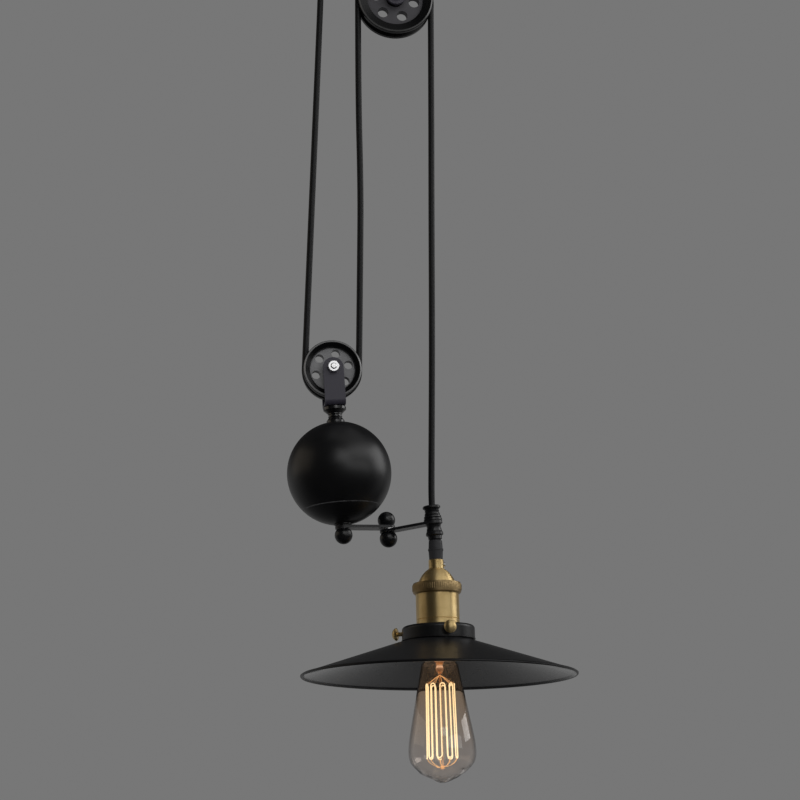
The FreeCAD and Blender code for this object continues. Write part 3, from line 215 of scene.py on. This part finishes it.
def makeCord(name, corners, material):
    points = splinePoints(name, corners, flex["fineness"])
    radius = flex["diameter"] / 2
    sides = flex["sides"]
    mesh = bpy.data.meshes.new(name)
    piece = bpy.data.objects.new(name + "Flex", mesh)
    bpy.context.scene.collection.objects.link(piece)
    build = bmesh.new()
    around = build.loops.layers.uv.new("aroundAlong")
    rings = []
    travelled = [0.0]
    for before, after in zip(points, points[1:]):
        travelled.append(travelled[-1] + (after - before).length)
    for index, point in enumerate(points):
        ahead = points[min(index + 1, len(points) - 1)] - points[max(index - 1, 0)]
        ahead.normalize()
        across = Vector((0, 1, 0))
        side = across.cross(ahead).normalized()
        ring = []
        for turn in range(sides):
            angle = math.tau * turn / sides
            ring.append(build.verts.new(point + (across * math.sin(angle) + side * math.cos(angle)) * radius))
        rings.append(ring)
    for index in range(len(rings) - 1):
        for turn in range(sides):
            corner = (turn + 1) % sides
            face = build.faces.new((rings[index][turn], rings[index + 1][turn],
                                    rings[index + 1][corner], rings[index][corner]))
            face.smooth = True
            places = ((turn, index), (turn, index + 1), (turn + 1, index + 1), (turn + 1, index))
            for loop, (a, b) in zip(face.loops, places):
                loop[around].uv = (a / sides, travelled[b] / flex["diameter"])
    build.faces.new(rings[0])
    build.faces.new(reversed(rings[-1]))
    bmesh.ops.recalc_face_normals(build, faces=build.faces)
    build.to_mesh(mesh)
    build.free()
    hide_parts(name)
    dress(piece, material)
    return piece


# shader work: sockets that take part in sums
class Wire:
    def __init__(self, board, node, output=0):
        self.board = board
        self.node = node
        self.socket = node.outputs[output]

    def out(self, name):
        return Wire(self.board, self.node, name)

    def maths(self, operation, *others, back=False):
        values = [self, *others]
        if back:
            values.reverse()
        return self.board.node("ShaderNodeMath", {"operation": operation}, dict(enumerate(values)))

    def __add__(self, other):
        return self.maths("ADD", other)

    def __sub__(self, other):
        return self.maths("SUBTRACT", other)

    def __rsub__(self, other):
        return self.maths("SUBTRACT", other, back=True)

    def __mul__(self, other):
        return self.maths("MULTIPLY", other)

    __radd__ = __add__
    __rmul__ = __mul__

    def capped(self):
        # held between 0 and 1
        made = self.maths("ADD", 0.0)
        made.node.use_clamp = True
        return made


class Board:
    def __init__(self, tree):
        self.tree = tree
        tree.nodes.clear()

    def node(self, kind, settings=None, inputs=None):
        made = self.tree.nodes.new(kind)
        for key, value in (settings or {}).items():
            setattr(made, key, value)
        for key, value in (inputs or {}).items():
            self.plug(made.inputs[key], value)
        return Wire(self, made) if made.outputs else made

    def plug(self, socket, value):
        if isinstance(value, Wire):
            self.tree.links.new(value.socket, socket)
        else:
            socket.default_value = value

    def mix(self, share, first, second):
        # colours in linear light, blended by share
        return self.node("ShaderNodeMix", {"data_type": "RGBA"}, {0: share, 6: first, 7: second}).out(2)


def colour(red, green, blue):
    return (red, green, blue, 1.0)


class Finish(Board):
    def __init__(self, name, shine=0.5):
        self.material = bpy.data.materials.new(name)
        self.material.use_nodes = True
        super().__init__(self.material.node_tree)
        self.surface = self.node("ShaderNodeBsdfPrincipled", {}, {"Specular IOR Level": shine})
        self.node("ShaderNodeOutputMaterial", {}, {"Surface": self.surface})
        self.place = self.node("ShaderNodeTexCoord").out("Object")

    def between(self, share, pair):
        return self.mix(share, colour(*pair[0]), colour(*pair[1]))

    def noise(self, scale, detail=3.0, rough=0.55, place=None):
        return self.node("ShaderNodeTexNoise", {}, {
            "Vector": place or self.place, "Scale": scale, "Detail": detail, "Roughness": rough})

    def seenFrom(self, centre, scale=(1.0, 1.0, 1.0)):
        # coordinates measured from a point in millimetres, stretched along the axes
        back = [-c / 1000 * s for c, s in zip(centre, scale)]
        return self.node("ShaderNodeMapping", {}, {"Vector": self.place, "Location": back, "Scale": scale})

    def distance(self, centre, scale):
        # metres from that point, along the axes that the scale keeps
        return self.lengthOf(self.seenFrom(centre, scale))

    def lengthOf(self, arrow):
        return self.node("ShaderNodeVectorMath", {"operation": "LENGTH"}, {0: arrow}).out("Value")

    def bump(self, height, depth, strength=1.0):
        return self.node("ShaderNodeBump", {}, {"Height": height, "Distance": depth, "Strength": strength})

    def set(self, **values):
        for name, value in values.items():
            self.plug(self.surface.node.inputs[name.replace("_", " ")], value)
        return self.material


crisp = 2500.0  # a mask on metres turns over within 0.4 mm


def enamel(name, base, pale, rough, shine=0.3, peel=0.00001, grain=260.0):
    # stoved paint: slight orange peel, cloudy gloss and a few dull specks
    paint = Finish(name, shine)
    cloud = paint.noise(38.0)
    speck = (paint.noise(grain, 2.0) * 3.0 - 1.35).capped()
    return paint.set(Base_Color=paint.between(cloud * 0.5 + speck * 0.25, (base, pale)),
                     Roughness=rough + cloud * 0.12 + speck * 0.06,
                     Normal=paint.bump(paint.noise(grain * 3.2, 2.0), peel))


def brass(name, base, dark, rough, wear=0.5):
    # brushed round the turning axis, with brown patina in patches
    metal = Finish(name)
    patina = (metal.noise(55.0, 5.0, 0.62) * 2.6 - 0.85).capped()
    fine = metal.noise(1.0, 2.0, 0.5, metal.seenFrom((0, 0, 0), (60.0, 60.0, 2600.0)))
    shade = (patina * wear + fine * 0.18).capped()
    return metal.set(Base_Color=metal.between(shade, (base, dark)), Metallic=1.0,
                     Roughness=rough + patina * 0.1 + fine * 0.06, Anisotropic=0.85, Anisotropic_Rotation=0.25,
                     Normal=metal.bump(fine, 0.000008))


def steel(name, base, rough, scale=(700.0, 700.0, 700.0)):
    metal = Finish(name)
    grain = metal.noise(1.0, 2.0, 0.5, metal.seenFrom((0, 0, 0), scale))
    cloud = metal.noise(90.0)
    return metal.set(Base_Color=metal.between(cloud * 0.35, (base, [c * 0.55 for c in base])),
                     Metallic=1.0, Roughness=rough + grain * 0.1, Normal=metal.bump(grain, 0.000008))


def plastic(name, base, rough, depth=0.00003, shine=0.5):
    shell = Finish(name, shine)
    grain = shell.noise(900.0, 2.0)
    return shell.set(Base_Color=shell.between(shell.noise(60.0) * 0.5, (base, [c * 1.5 for c in base])),
                     Roughness=rough + grain * 0.08, Normal=shell.bump(grain, depth))


# bead: the rolled rim's blacker colour, painted shade; paintedLight: the rim's lighter inner side, painted light;
# inside: a little lighter than outside, painted light
shadePaint = {"centre": (80.6, 0, -784.8), "rim": 127.7, "paintedLight": (0.035, 0.035, 0.036),
              "bead": (0.0015, 0.0015, 0.002), "outside": ((0.005, 0.005, 0.0055), (0.01, 0.01, 0.011)),
              "inside": ((0.008, 0.008, 0.009), (0.012, 0.012, 0.013)), "coatRough": 0.07, "coatIndex": 1.6}


def shadeEnamel(name, facts):
    # spun sheet: satin outside and a glossier coat inside; the inside colour is a little lighter as painted light,
    # the rolled rim is blacker as painted shade, and the rim's inner side is lighter as painted light
    paint = Finish(name, 0.5)
    normal = paint.node("ShaderNodeNewGeometry").out("Normal")
    facing = paint.node("ShaderNodeSeparateXYZ", {}, {0: normal})
    outwards = paint.seenFrom(facts["centre"], (1.0, 1.0, 0.0))
    reach = paint.lengthOf(outwards)
    turned = paint.node("ShaderNodeVectorMath", {"operation": "DOT_PRODUCT"}, {0: normal, 1: outwards}).out("Value")
    rim = ((reach - facts["rim"] / 1000) * crisp).capped()
    inwards = rim * (turned * -30.0).capped()  # where the rim looks to the lamp's axis
    inside = (facing.out("Z") * -5.0).capped() * (1.0 - rim)  # where the sheet looks down
    cloud = paint.noise(30.0)
    speck = (paint.noise(150.0, 2.0) * 3.0 - 1.4).capped()
    outer = paint.between(cloud * 0.6 + speck * 0.2, facts["outside"])
    # the inner colour is a little lighter than the outer: painted light
    inner = paint.between(cloud, facts["inside"])
    # blacker rolled rim: painted shade; the rim's lighter inner side below: painted light
    sheet = paint.mix(rim, paint.mix(inside, outer, inner), colour(*facts["bead"]))
    return paint.set(Base_Color=paint.mix(inwards * (0.7 + cloud * 0.3), sheet, colour(*facts["paintedLight"])),
                     Roughness=0.31 + cloud * 0.06 + speck * 0.05 - inside * 0.1,
                     Coat_Weight=inside * (0.85 + cloud * 0.15), Coat_Roughness=facts["coatRough"],
                     Coat_IOR=facts["coatIndex"],
                     Normal=paint.bump(paint.noise(400.0, 2.0), 0.000001))


# paintedLitGrey: the broad faces' grey, painted light
barTones = {"edges": (0.005, 0.005, 0.006), "paintedLitGrey": ((0.05, 0.05, 0.051), (0.085, 0.085, 0.087))}


def barEnamel(name, facts):
    # flat bars: black edges, and the broad faces that look up and down painted grey as painted light from below
    paint = Finish(name, 0.5)
    facing = paint.node("ShaderNodeSeparateXYZ", {}, {0: paint.node("ShaderNodeNewGeometry").out("Normal")})
    broad = (facing.out("Z").maths("ABSOLUTE") * 4.0 - 2.4).capped()
    cloud = paint.noise(60.0, 4.0)
    paintedLitGrey = paint.between(cloud, facts["paintedLitGrey"])
    return paint.set(Base_Color=paint.mix(broad, colour(*facts["edges"]), paintedLitGrey),
                     Roughness=0.3 + cloud * 0.12, Normal=paint.bump(paint.noise(700.0, 2.0), 0.00001))


# paintedLight: the seam line's lighter colour, a painted highlight
ballPaint = {"seam": (-13.18, 0, -623.1), "up": (-0.0767, 0, 0.9971), "half": 0.0003, "sharp": 9000.0,
             "black": ((0.0012, 0.0012, 0.0016), (0.003, 0.003, 0.0036)), "rough": 0.31, "paintedLight": (0.05, 0.05, 0.052)}


def ballEnamel(name, facts):
    # gloss black, with a lighter patchy line along the seam between its halves as a painted highlight where the seam
    # catches light
    paint = Finish(name, 0.5)
    level = paint.node("ShaderNodeVectorMath", {"operation": "DOT_PRODUCT"},
                       {0: paint.seenFrom(facts["seam"]), 1: facts["up"]}).out("Value")
    line = 1.0 - ((level.maths("ABSOLUTE") - facts["half"]) * facts["sharp"]).capped()
    cloud = paint.noise(45.0)
    # patches along the seam where the painted highlight shows
    paintedLight = (paint.noise(140.0, 3.0) * 3.0 - 0.7).capped()
    black = paint.between(cloud, facts["black"])
    return paint.set(Base_Color=paint.mix(line * paintedLight, black, colour(*facts["paintedLight"])),
                     Roughness=facts["rough"] + cloud * 0.08 + line * 0.2,
                     Normal=paint.bump(paint.noise(500.0, 2.0), 0.00001))


# edge and paintedLight: where the painted highlight on the outer bevel begins, and its colour
wheelPaint = {
    "upper_pulley": {"centre": (37.5, 0, -93), "web": 28.8, "hub": 8.8, "edge": 36.7, "face": 8.2,
                     "black": (0.0012, 0.0012, 0.0015), "grey": (0.062, 0.06, 0.066), "paintedLight": (0.12, 0.12, 0.12)},
    "lower_pulley": {"centre": (-23.6, 0, -487.7), "web": 21.8, "hub": 8.8, "edge": 26.4, "face": 8.2,
                     "black": (0.0012, 0.0012, 0.0015), "grey": (0.2, 0.2, 0.205), "paintedLight": (0.26, 0.26, 0.26)},
}


def castWheel(name, facts):
    # painted casting: a lighter, partly metal band on the outer edge bevel as a painted highlight, black dished rim,
    # lighter sandy web, black hub
    iron = Finish(name, 0.25)
    reach = iron.distance(facts["centre"], (1.0, 0.0, 1.0))
    web = ((facts["web"] / 1000 - reach) * crisp).capped() * ((reach - facts["hub"] / 1000) * crisp).capped()
    across = iron.node("ShaderNodeSeparateXYZ", {}, {0: iron.place}).out("Y").maths("ABSOLUTE")
    edge = ((reach - facts["edge"] / 1000) * crisp).capped() * ((across - facts["face"] / 1000) * crisp).capped()
    sand = iron.noise(900.0, 3.0, 0.6)
    cloud = iron.noise(70.0, 4.0)
    grey = facts["grey"]
    webShade = iron.between(cloud, (grey, [c * 0.62 for c in grey]))
    painted = iron.mix(web, colour(*facts["black"]), webShade)
    # painted highlight on the outer bevel
    return iron.set(Base_Color=iron.mix(edge * (0.45 + cloud * 0.4), painted, colour(*facts["paintedLight"])),
                    Roughness=0.24 + web * 0.3 + sand * 0.08, Metallic=edge * 0.3,
                    Normal=iron.bump(sand, 0.00005, 0.6))


braid = {"threads": (12.0, 2.4, 1.0), "tones": ((0.0012, 0.0012, 0.0015), (0.005, 0.005, 0.0055)),
         "depth": 0.00008, "strength": 0.4}


def cordFinish(name, facts):
    # close braid of polished thread, lighter where it stands proud and darker in the valleys between threads, as
    # painted light and shade
    cloth = Finish(name, 0.25)
    along = cloth.node("ShaderNodeUVMap", {"uv_map": "aroundAlong"})
    lay = cloth.node("ShaderNodeMapping", {}, {"Vector": along, "Scale": facts["threads"]})
    parts = cloth.node("ShaderNodeSeparateXYZ", {}, {0: lay})
    threads = ((parts.out("X") + parts.out("Y")) * math.tau).maths("SINE")
    others = ((parts.out("X") - parts.out("Y")) * math.tau).maths("SINE")
    height = threads.maths("MAXIMUM", others) * 0.5 + 0.5
    # the braid's colour by height: painted shade in the valleys
    return cloth.set(Base_Color=cloth.between(height, facts["tones"]), Roughness=0.52 - height * 0.08,
                     Normal=cloth.bump(height, facts["depth"], facts["strength"]))


# heights in metres: the brown deepens above the first as a painted reflection, the end is crinkled below the second
smoke = {"reflectionFrom": -0.85, "reflectionSpread": 16.0, "crinkleFrom": -0.872, "crinkleSpread": 160.0, "crinkle": 0.0012,
         "tones": ((0.995, 0.94, 0.9), (0.98, 0.82, 0.67)), "edge": (0.03, 0.022, 0.02), "edgeFrom": 0.52,
         "edgeSpread": 2.6, "edgeShare": 0.95}


def smokedGlass(name, facts):
    # blown glass with a thin smoky brown film; the brown deepens towards the cap as a painted reflection of the
    # shade's dark inside, and the edges darken where it is seen edge on as painted shade
    glass = Finish(name)
    facing = glass.node("ShaderNodeLayerWeight", {}, {"Blend": 0.5}).out("Facing")
    grazing = ((facing - facts["edgeFrom"]) * facts["edgeSpread"]).capped()
    height = glass.node("ShaderNodeSeparateXYZ", {}, {0: glass.place}).out("Z")
    paintedReflection = ((height - facts["reflectionFrom"]) * facts["reflectionSpread"]).capped()
    end = ((facts["crinkleFrom"] - height) * facts["crinkleSpread"]).capped()
    crinkle = glass.noise(230.0, 3.0) * end
    body = glass.between(paintedReflection, facts["tones"])
    # dark edges: painted shade; deeper brown above: painted reflection
    return glass.set(Base_Color=glass.mix(grazing * facts["edgeShare"], body, colour(*facts["edge"])),
                     Normal=glass.bump(crinkle, facts["crinkle"]), Roughness=0.0, IOR=1.45, Transmission_Weight=1.0)


# warm: painted glow; beadHighlight: painted highlight at the bead's height
stemGlow = {"bead": -0.7722, "beadSharp": 420.0, "beadHighlight": (0.42, 0.28, 0.2), "clear": (0.95, 0.8, 0.64),
            "warm": ((0.03, 0.008, 0.002), (0.06, 0.018, 0.005)), "strength": 0.8}


def stemGlass(name, facts):
    # clear rod with a painted orange glow for the light of the hot wire round it, and a painted highlight on its
    # bead
    glass = Finish(name)
    glow = glass.noise(120.0, 2.0)
    height = glass.node("ShaderNodeSeparateXYZ", {}, {0: glass.place}).out("Z")
    bead = 1.0 - ((height - facts["bead"]).maths("ABSOLUTE") * facts["beadSharp"]).capped()
    warm = glass.between(glow, facts["warm"])
    return glass.set(Base_Color=colour(*facts["clear"]), Roughness=0.06, IOR=1.5, Transmission_Weight=0.95,
                     Emission_Color=glass.mix(bead, warm, colour(*facts["beadHighlight"])),
                     Emission_Strength=facts["strength"])


wireGlow = {"cold": (0.3, 0.12, 0.03), "glowTone": ((1.0, 0.78, 0.42), (1.0, 0.9, 0.6)), "strength": 1.25}
# the hooks are no lamp: their glow is painted
hookGlow = {"cold": ((0.5, 0.25, 0.1), (0.25, 0.12, 0.05)), "glowTone": (1.0, 0.58, 0.27), "strength": 0.75}


def hotWire(name, facts):
    wire = Finish(name)
    heat = wire.noise(160.0, 2.0)
    return wire.set(Base_Color=colour(*facts["cold"]), Roughness=0.5,
                    Emission_Color=wire.between(heat, facts["glowTone"]), Emission_Strength=facts["strength"])


def supportWire(name, facts):
    # hooks with a painted glow, standing in for the filament's light on them
    wire = Finish(name)
    tone = wire.noise(300.0)
    return wire.set(Base_Color=wire.between(tone, facts["cold"]), Metallic=1.0, Roughness=0.35 + tone * 0.1,
                    Emission_Color=colour(*facts["glowTone"]), Emission_Strength=facts["strength"])


finishes = {
    "zinc_steel": steel("zincSteel", (0.5, 0.51, 0.52), 0.3),
    "satin_black_steel": enamel("satinBlack", (0.002, 0.002, 0.0025), (0.006, 0.006, 0.0065), 0.27, 0.4),
    "gloss_black_steel": enamel("glossBlack", (0.0015, 0.0015, 0.002), (0.004, 0.004, 0.005), 0.24, 0.5, 0.000004),
    "shade_black": shadeEnamel("shadeBlack", shadePaint),
    "slate_steel": enamel("slateSteel", (0.024, 0.022, 0.033), (0.038, 0.035, 0.049), 0.36, 0.4),
    "black_cast_iron": enamel("blackIron", (0.004, 0.004, 0.005), (0.012, 0.012, 0.013), 0.4),
    "grey_cast_iron": plastic("greyIron", (0.12, 0.12, 0.12), 0.7, 0.0001),
    "bright_steel": steel("brightSteel", (0.97, 0.97, 0.98), 0.3),
    "bearing_brass": brass("bearingBrass", (0.65, 0.47, 0.22), (0.4, 0.27, 0.1), 0.25),
    "antique_brass": brass("antiqueBrass", (0.92, 0.7, 0.35), (0.6, 0.41, 0.155), 0.34),
    "dark_brass": brass("darkBrass", (0.56, 0.41, 0.21), (0.28, 0.185, 0.08), 0.42),
    "black_plastic": plastic("blackPlastic", (0.012, 0.012, 0.012), 0.45),
    "grip_plastic": plastic("gripPlastic", (0.016, 0.016, 0.018), 0.5, 0.00003, 0.35),
    "black_flex": cordFinish("blackFlex", braid),
    "white_ceramic": plastic("whiteCeramic", (0.5, 0.49, 0.46), 0.2),
    "black_glass": plastic("blackGlass", (0.01, 0.01, 0.012), 0.15),
    "amber_glass": smokedGlass("smokedGlass", smoke),
    "clear_glass": stemGlass("stemGlass", stemGlow),
    "glowing_wire": hotWire("hotWire", wireGlow),
    "support_wire": supportWire("supportWire", hookGlow),
}
# pieces whose paint differs from the rest of their slot
ownPaint = {name: castWheel(name + "Paint", facts) for name, facts in wheelPaint.items()}
barPaint = barEnamel("barPaint", barTones)
ownPaint.update({"inner_bar": barPaint, "outer_bar": barPaint})
ownPaint["weight_neck"] = enamel("neckPaint", (0.002, 0.002, 0.0025), (0.005, 0.005, 0.0055), 0.1, 0.9, 0.000004)
ballFinish = ballEnamel("ballPaint", ballPaint)
ownPaint.update({"ball_upper_shell": ballFinish, "ball_bottom_cap": ballFinish})
slotOf = {part["node"]: part["material_slot"] for part in frame["record"]["subparts"]}
for name, node in nodes.items():
    dress(node, ownPaint.get(name) or finishes[slotOf[name]])
print("finishes made:", len(finishes) + len(ownPaint))

# the flex in its five stretches
for name, run in runs.items():
    corners = [Vector((x / 1000, 0, z / 1000)) for x, z in run["route"]]
    piece = makeCord(name, corners, finishes["black_flex"])
    if name == "cord_lamp_run":
        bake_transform(piece)
    else:
        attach(piece, "root")
        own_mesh(piece)
for name, wheel, body in (("cord_upper_wrap", "upper", "root"), ("cord_lower_wrap", "lower", "weight")):
    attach(makeCord(name, wheelCorners(wheels[wheel]), finishes["black_flex"]), body)
print("flex laid")

# the lamp's own frame: heights below the cord grip's top, in millimetres
lamp = {"grip": (0.076912, 0, -0.65184), "lean": -1.6}
lampHome = Matrix.Translation(lamp["grip"]) @ Matrix.Rotation(math.radians(lamp["lean"]), 4, "Y")

knurl = {"outer": 23.5, "inner": 20.65, "top": -42.0, "foot": -52.0, "ridges": 72, "depth": 0.45}


def makeKnurledRing(facts):
    outer, inner = facts["outer"], facts["inner"]
    top, foot = facts["top"], facts["foot"]
    profile = [(inner, foot), (outer - 2.2, foot), (outer - 0.8, foot + 1.2), (outer - 0.5, foot + 2.6),
               (outer, foot + 3.4), (outer, top - 1.6), (outer - 0.5, top - 0.9), (outer - 0.9, top + 0.3),
               (outer - 1.5, top + 0.6), (18.45, top + 0.6), (18.45, top - 0.1), (inner, top - 0.1),
               (inner, foot)]
    ring = spun("knurledRing", profile, facts["ridges"] * 2, Matrix())
    # every second column of the outermost band goes in, which leaves the ridges
    pickUp(ring)
    step = math.tau / (facts["ridges"] * 2)
    for vertex in ring.data.vertices:
        far = math.hypot(vertex.co.x, vertex.co.y) * 1000
        column = round(math.atan2(vertex.co.y, vertex.co.x) / step)
        vertex.select = far > outer - 0.05 and column % 2 == 1  # only the band stands that far out
    for item in (*ring.data.edges, *ring.data.polygons):
        item.select = False
    bpy.ops.object.mode_set(mode="EDIT")
    inwards = 1 - facts["depth"] / outer
    bpy.ops.transform.resize(value=(inwards, inwards, 1), center_override=(0, 0, 0))
    bpy.ops.object.mode_set(mode="OBJECT")
    ring.data.transform(lampHome)
    smooth(ring, 25)
    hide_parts("knurled_ring")
    dress(ring, finishes["dark_brass"])
    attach(ring, "lamp")


makeKnurledRing(knurl)

bulb = {"top": -114.3, "tip": -228.0, "wall": 0.8, "mouth": 12.8, "shoulder": 17.5, "belly": 30.2, "sides": 96,
        "cageTop": -137.0, "cageFoot": -205.0, "topReach": 13.3, "footReach": 14.4, "wire": 1.2, "bends": 9,
        "lowerHook": 0.5, "upperHook": 0.32, "stemFoot": -216.3, "stemSides": 32, "pinch": 10.5, "fold": 0.14}


def glassProfile(facts, inset):
    # pear from its mouth to the sealed tip
    top, tip = facts["top"], facts["tip"]
    shoulder, belly = facts["shoulder"], facts["belly"]
    line = [(facts["mouth"], top), (facts["mouth"] + 1.5, top - 0.9), (shoulder - 1.1, top - 2.9),
            (shoulder, top - 5.0)]
    fall = top - 5.0 - (tip + 43.0)
    line += [(shoulder + (belly - shoulder) * n / 8, top - 5.0 - fall * n / 8) for n in range(1, 9)]
    line += [(belly + 0.9, tip + 37.5), (belly + 1.4, tip + 32.0), (belly + 1.6, tip + 28.0),
             (belly + 1.2, tip + 23.5), (belly - 0.3, tip + 18.6), (belly - 3.4, tip + 14.6),
             (belly - 7.2, tip + 11.2), (21.1, tip + 9.2), (17.0, tip + 6.9), (12.4, tip + 4.6),
             (8.6, tip + 2.9), (6.0, tip + 1.7), (3.4, tip + 0.6), (1.4, tip + 0.1), (0, tip)]
    if inset:
        line = [(max(r - inset, 0), z + (inset if z < tip + 12 else 0)) for r, z in line]
        line[-2] = (0.9, line[-2][1])
    return line


def makeBulb(facts):
    outside = glassProfile(facts, 0)
    inside = glassProfile(facts, facts["wall"])
    glass = spun("bulbGlass", outside + inside[::-1] + outside[:1], facts["sides"], Matrix())
    for vertex in glass.data.vertices:
        # five folds where the end was pinched off, turning on their way up and deeper on two sides
        height = vertex.co.z * 1000 - facts["tip"]
        share = max(0, 1 - height / facts["pinch"])
        angle = math.atan2(vertex.co.y, vertex.co.x)
        fold = 1 + facts["fold"] * share ** 0.5 * math.sin(5 * angle + height * 0.7) * math.cos(2 * angle + 1.1)
        vertex.co.x *= fold
        vertex.co.y *= fold
    glass.data.transform(lampHome)
    smooth(glass, 60)
    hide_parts("bulb_glass")
    dress(glass, finishes["amber_glass"])

    top, foot = facts["top"], facts["stemFoot"]
    stem = spun("bulbStem", [
        (0, top - 0.7), (6.0, top - 0.7), (4.8, top - 1.5), (3.6, top - 2.8), (2.8, top - 4.6),
        (2.9, top - 6.0), (3.6, top - 7.2), (3.7, top - 8.6), (3.1, top - 10.2), (2.0, top - 11.6),
        (1.3, top - 13.0), (1.0, top - 16.0), (1.0, foot + 4.2), (1.7, foot + 3.2), (2.4, foot + 2.0),
        (2.5, foot + 1.2), (2.1, foot + 0.4), (1.2, foot), (0, foot)], facts["stemSides"], lampHome)
    smooth(stem, 60)
    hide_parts("bulb_stem")
    dress(stem, finishes["clear_glass"])

    high, low = facts["cageTop"], facts["cageFoot"]
    step = math.tau / facts["bends"] / 2  # from one upright of the wire to the next

    def onCage(turn, height):
        share = (high - height) / (high - low)
        reach = facts["topReach"] + (facts["footReach"] - facts["topReach"]) * share
        return (reach * math.cos(turn * step), reach * math.sin(turn * step), height)

    hairpin = [onCage(0, high - 2.0), onCage(0, low + 2.0), onCage(0.12, low + 0.6), onCage(0.35, low - 0.1),
               onCage(0.65, low - 0.1), onCage(0.88, low + 0.6), onCage(1, low + 2.0), onCage(1, high - 2.0),
               onCage(1.12, high - 0.6), onCage(1.35, high + 0.1), onCage(1.65, high + 0.1),
               onCage(1.88, high - 0.6), onCage(2, high - 2.0)]
    filament = wired("filamentWire", hairpin, facts["bends"], facts["wire"], lampHome)
    smooth(filament, 60)
    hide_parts("bulb_filament")
    dress(filament, finishes["glowing_wire"])

    # hooks from the stem: up to the lower bends in a shallow bowl, down to the upper bends
    hub = foot + 1.4
    rim = onCage(0.5, low)
    bowl = [(0.5 + 0.1 * n, 0, hub + 0.1 * n) for n in (0, 8)]
    for share, rise in ((0.3, 0.08), (0.55, 0.25), (0.78, 0.52), (0.92, 0.78), (0.985, 1.0)):
        bowl.append((rim[0] * share, rim[1] * share, hub + (low - 0.3 - hub) * rise))
    lower = wired("lowerHooks", bowl, facts["bends"], facts["wire"] * facts["lowerHook"], lampHome)
    peak = onCage(1.5, high)
    fan = [(0.4, 0, high + 8.6), (peak[0] * 0.3, peak[1] * 0.3, high + 6.4),
           (peak[0] * 0.72, peak[1] * 0.72, high + 2.4), (peak[0] * 0.99, peak[1] * 0.99, high + 0.3)]
    upper = wired("upperHooks", fan, facts["bends"], facts["wire"] * facts["upperHook"], lampHome)
    for hooks in (lower, upper):
        smooth(hooks, 60)
        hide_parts("filament_supports")
        dress(hooks, finishes["support_wire"])
    for piece in (glass, stem, filament, lower, upper):
        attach(piece, "bulb")


makeBulb(bulb)
print("bulb and knurled ring made")

# light and surroundings, turned round the lamp from the camera's side
studio = {
    "middle": (0.03, 0, -0.6), "cameraSide": -97.1,
    "grey": (0.184, 0.184, 0.184, 1), "dark": (0.02, 0.02, 0.02, 1), "backdrop": (0.22, 0.22, 0.22, 1),
    "ambient": (0.6, 0.6, 0.6, 1), "floorLevel": -1.75, "floorWidth": 6,
    "floorTones": ((0.58, 0.58, 0.58), (0.64, 0.64, 0.64)),
}
softboxes = {
    "rightBox": {"turn": 102, "rise": 24, "away": 2.0, "width": 1.2, "height": 1.2, "power": 9.2, "tint": (1, 1, 1)},
    "fillBox": {"turn": 42, "rise": 9, "away": 2.2, "width": 2.4, "height": 0.6, "power": 5.2, "tint": (1, 1, 1)},
    "upperBox": {"turn": 56, "rise": 38, "away": 2.2, "width": 1.9, "height": 1.0, "power": 7.0, "tint": (1, 1, 1)},
    "frontBox": {"turn": 9, "rise": 28, "away": 2.2, "width": 1.0, "height": 0.9, "power": 4.9, "tint": (1, 1, 1)},
    "topBox": {"turn": 60, "rise": 78, "away": 1.8, "width": 1.6, "height": 1.6, "power": 2.0, "tint": (1, 1, 1)},
    "leftBox": {"turn": -92, "rise": 20, "away": 2.0, "width": 2.0, "height": 1.2, "power": 2.6,
                "tint": (1.0, 0.87, 0.7)},
}


def makeSoftbox(name, facts):
    data = bpy.data.lights.new(name, "AREA")
    data.shape = "RECTANGLE"
    data.size = facts["width"]
    data.size_y = facts["height"]
    data.energy = facts["power"]
    data.color = facts["tint"]
    light = bpy.data.objects.new(name, data)
    bpy.context.scene.collection.objects.link(light)
    turn = math.radians(studio["cameraSide"] + facts["turn"])
    rise = math.radians(facts["rise"])
    away = Vector((math.cos(turn) * math.cos(rise), math.sin(turn) * math.cos(rise), math.sin(rise)))
    light.location = Vector(studio["middle"]) + away * facts["away"]
    light.rotation_euler = (-away).to_track_quat("-Z", "Y").to_euler()
    light.visible_camera = False


def makeWorld(facts):
    # one grey for the camera and through glass; reflections see it only low behind the lamp, in a dark room
    world = bpy.data.worlds.new("studio")
    bpy.context.scene.world = world
    world.use_nodes = True
    room = Board(world.node_tree)
    rays = room.node("ShaderNodeLightPath")
    way = room.node("ShaderNodeSeparateXYZ", {}, {0: room.node("ShaderNodeTexCoord").out("Generated")})
    side = math.radians(facts["cameraSide"])
    behind = ((way.out("X") * -math.cos(side) + way.out("Y") * -math.sin(side) + 0.1) * 2.0).capped()
    low = 1.0 - ((way.out("Z") - 0.08) * 3.0).capped()  # dark above the horizon
    far = 1.0 - ((-0.15 - way.out("Z")) * 1.6).capped() * 0.8  # fainter towards the feet
    mirrored = room.mix(behind * low * far, facts["dark"], facts["backdrop"])
    seen = (rays.out("Is Camera Ray") + rays.out("Is Transmission Ray")).capped()
    shown = room.mix(seen, room.mix(rays.out("Is Glossy Ray"), facts["ambient"], mirrored), facts["grey"])
    room.node("ShaderNodeOutputWorld", {}, {"Surface": room.node("ShaderNodeBackground", {}, {"Color": shown})})


def makeFloor(facts):
    putDown()
    bpy.ops.mesh.primitive_plane_add(size=facts["floorWidth"], location=(0, 0, facts["floorLevel"]))
    floor = bpy.context.object
    floor.name = "floor"
    paint = Finish("paleFloor")
    tones = paint.between(paint.noise(4.0), facts["floorTones"])
    floor.data.materials.append(paint.set(Base_Color=tones, Roughness=0.8))
    floor.visible_glossy = False  # the black enamel mirrors the dark room and not the floor


makeWorld(studio)
makeFloor(studio)
for name, facts in softboxes.items():
    makeSoftbox(name, facts)
bpy.context.scene.view_settings.view_transform = "Standard"
print("light set")
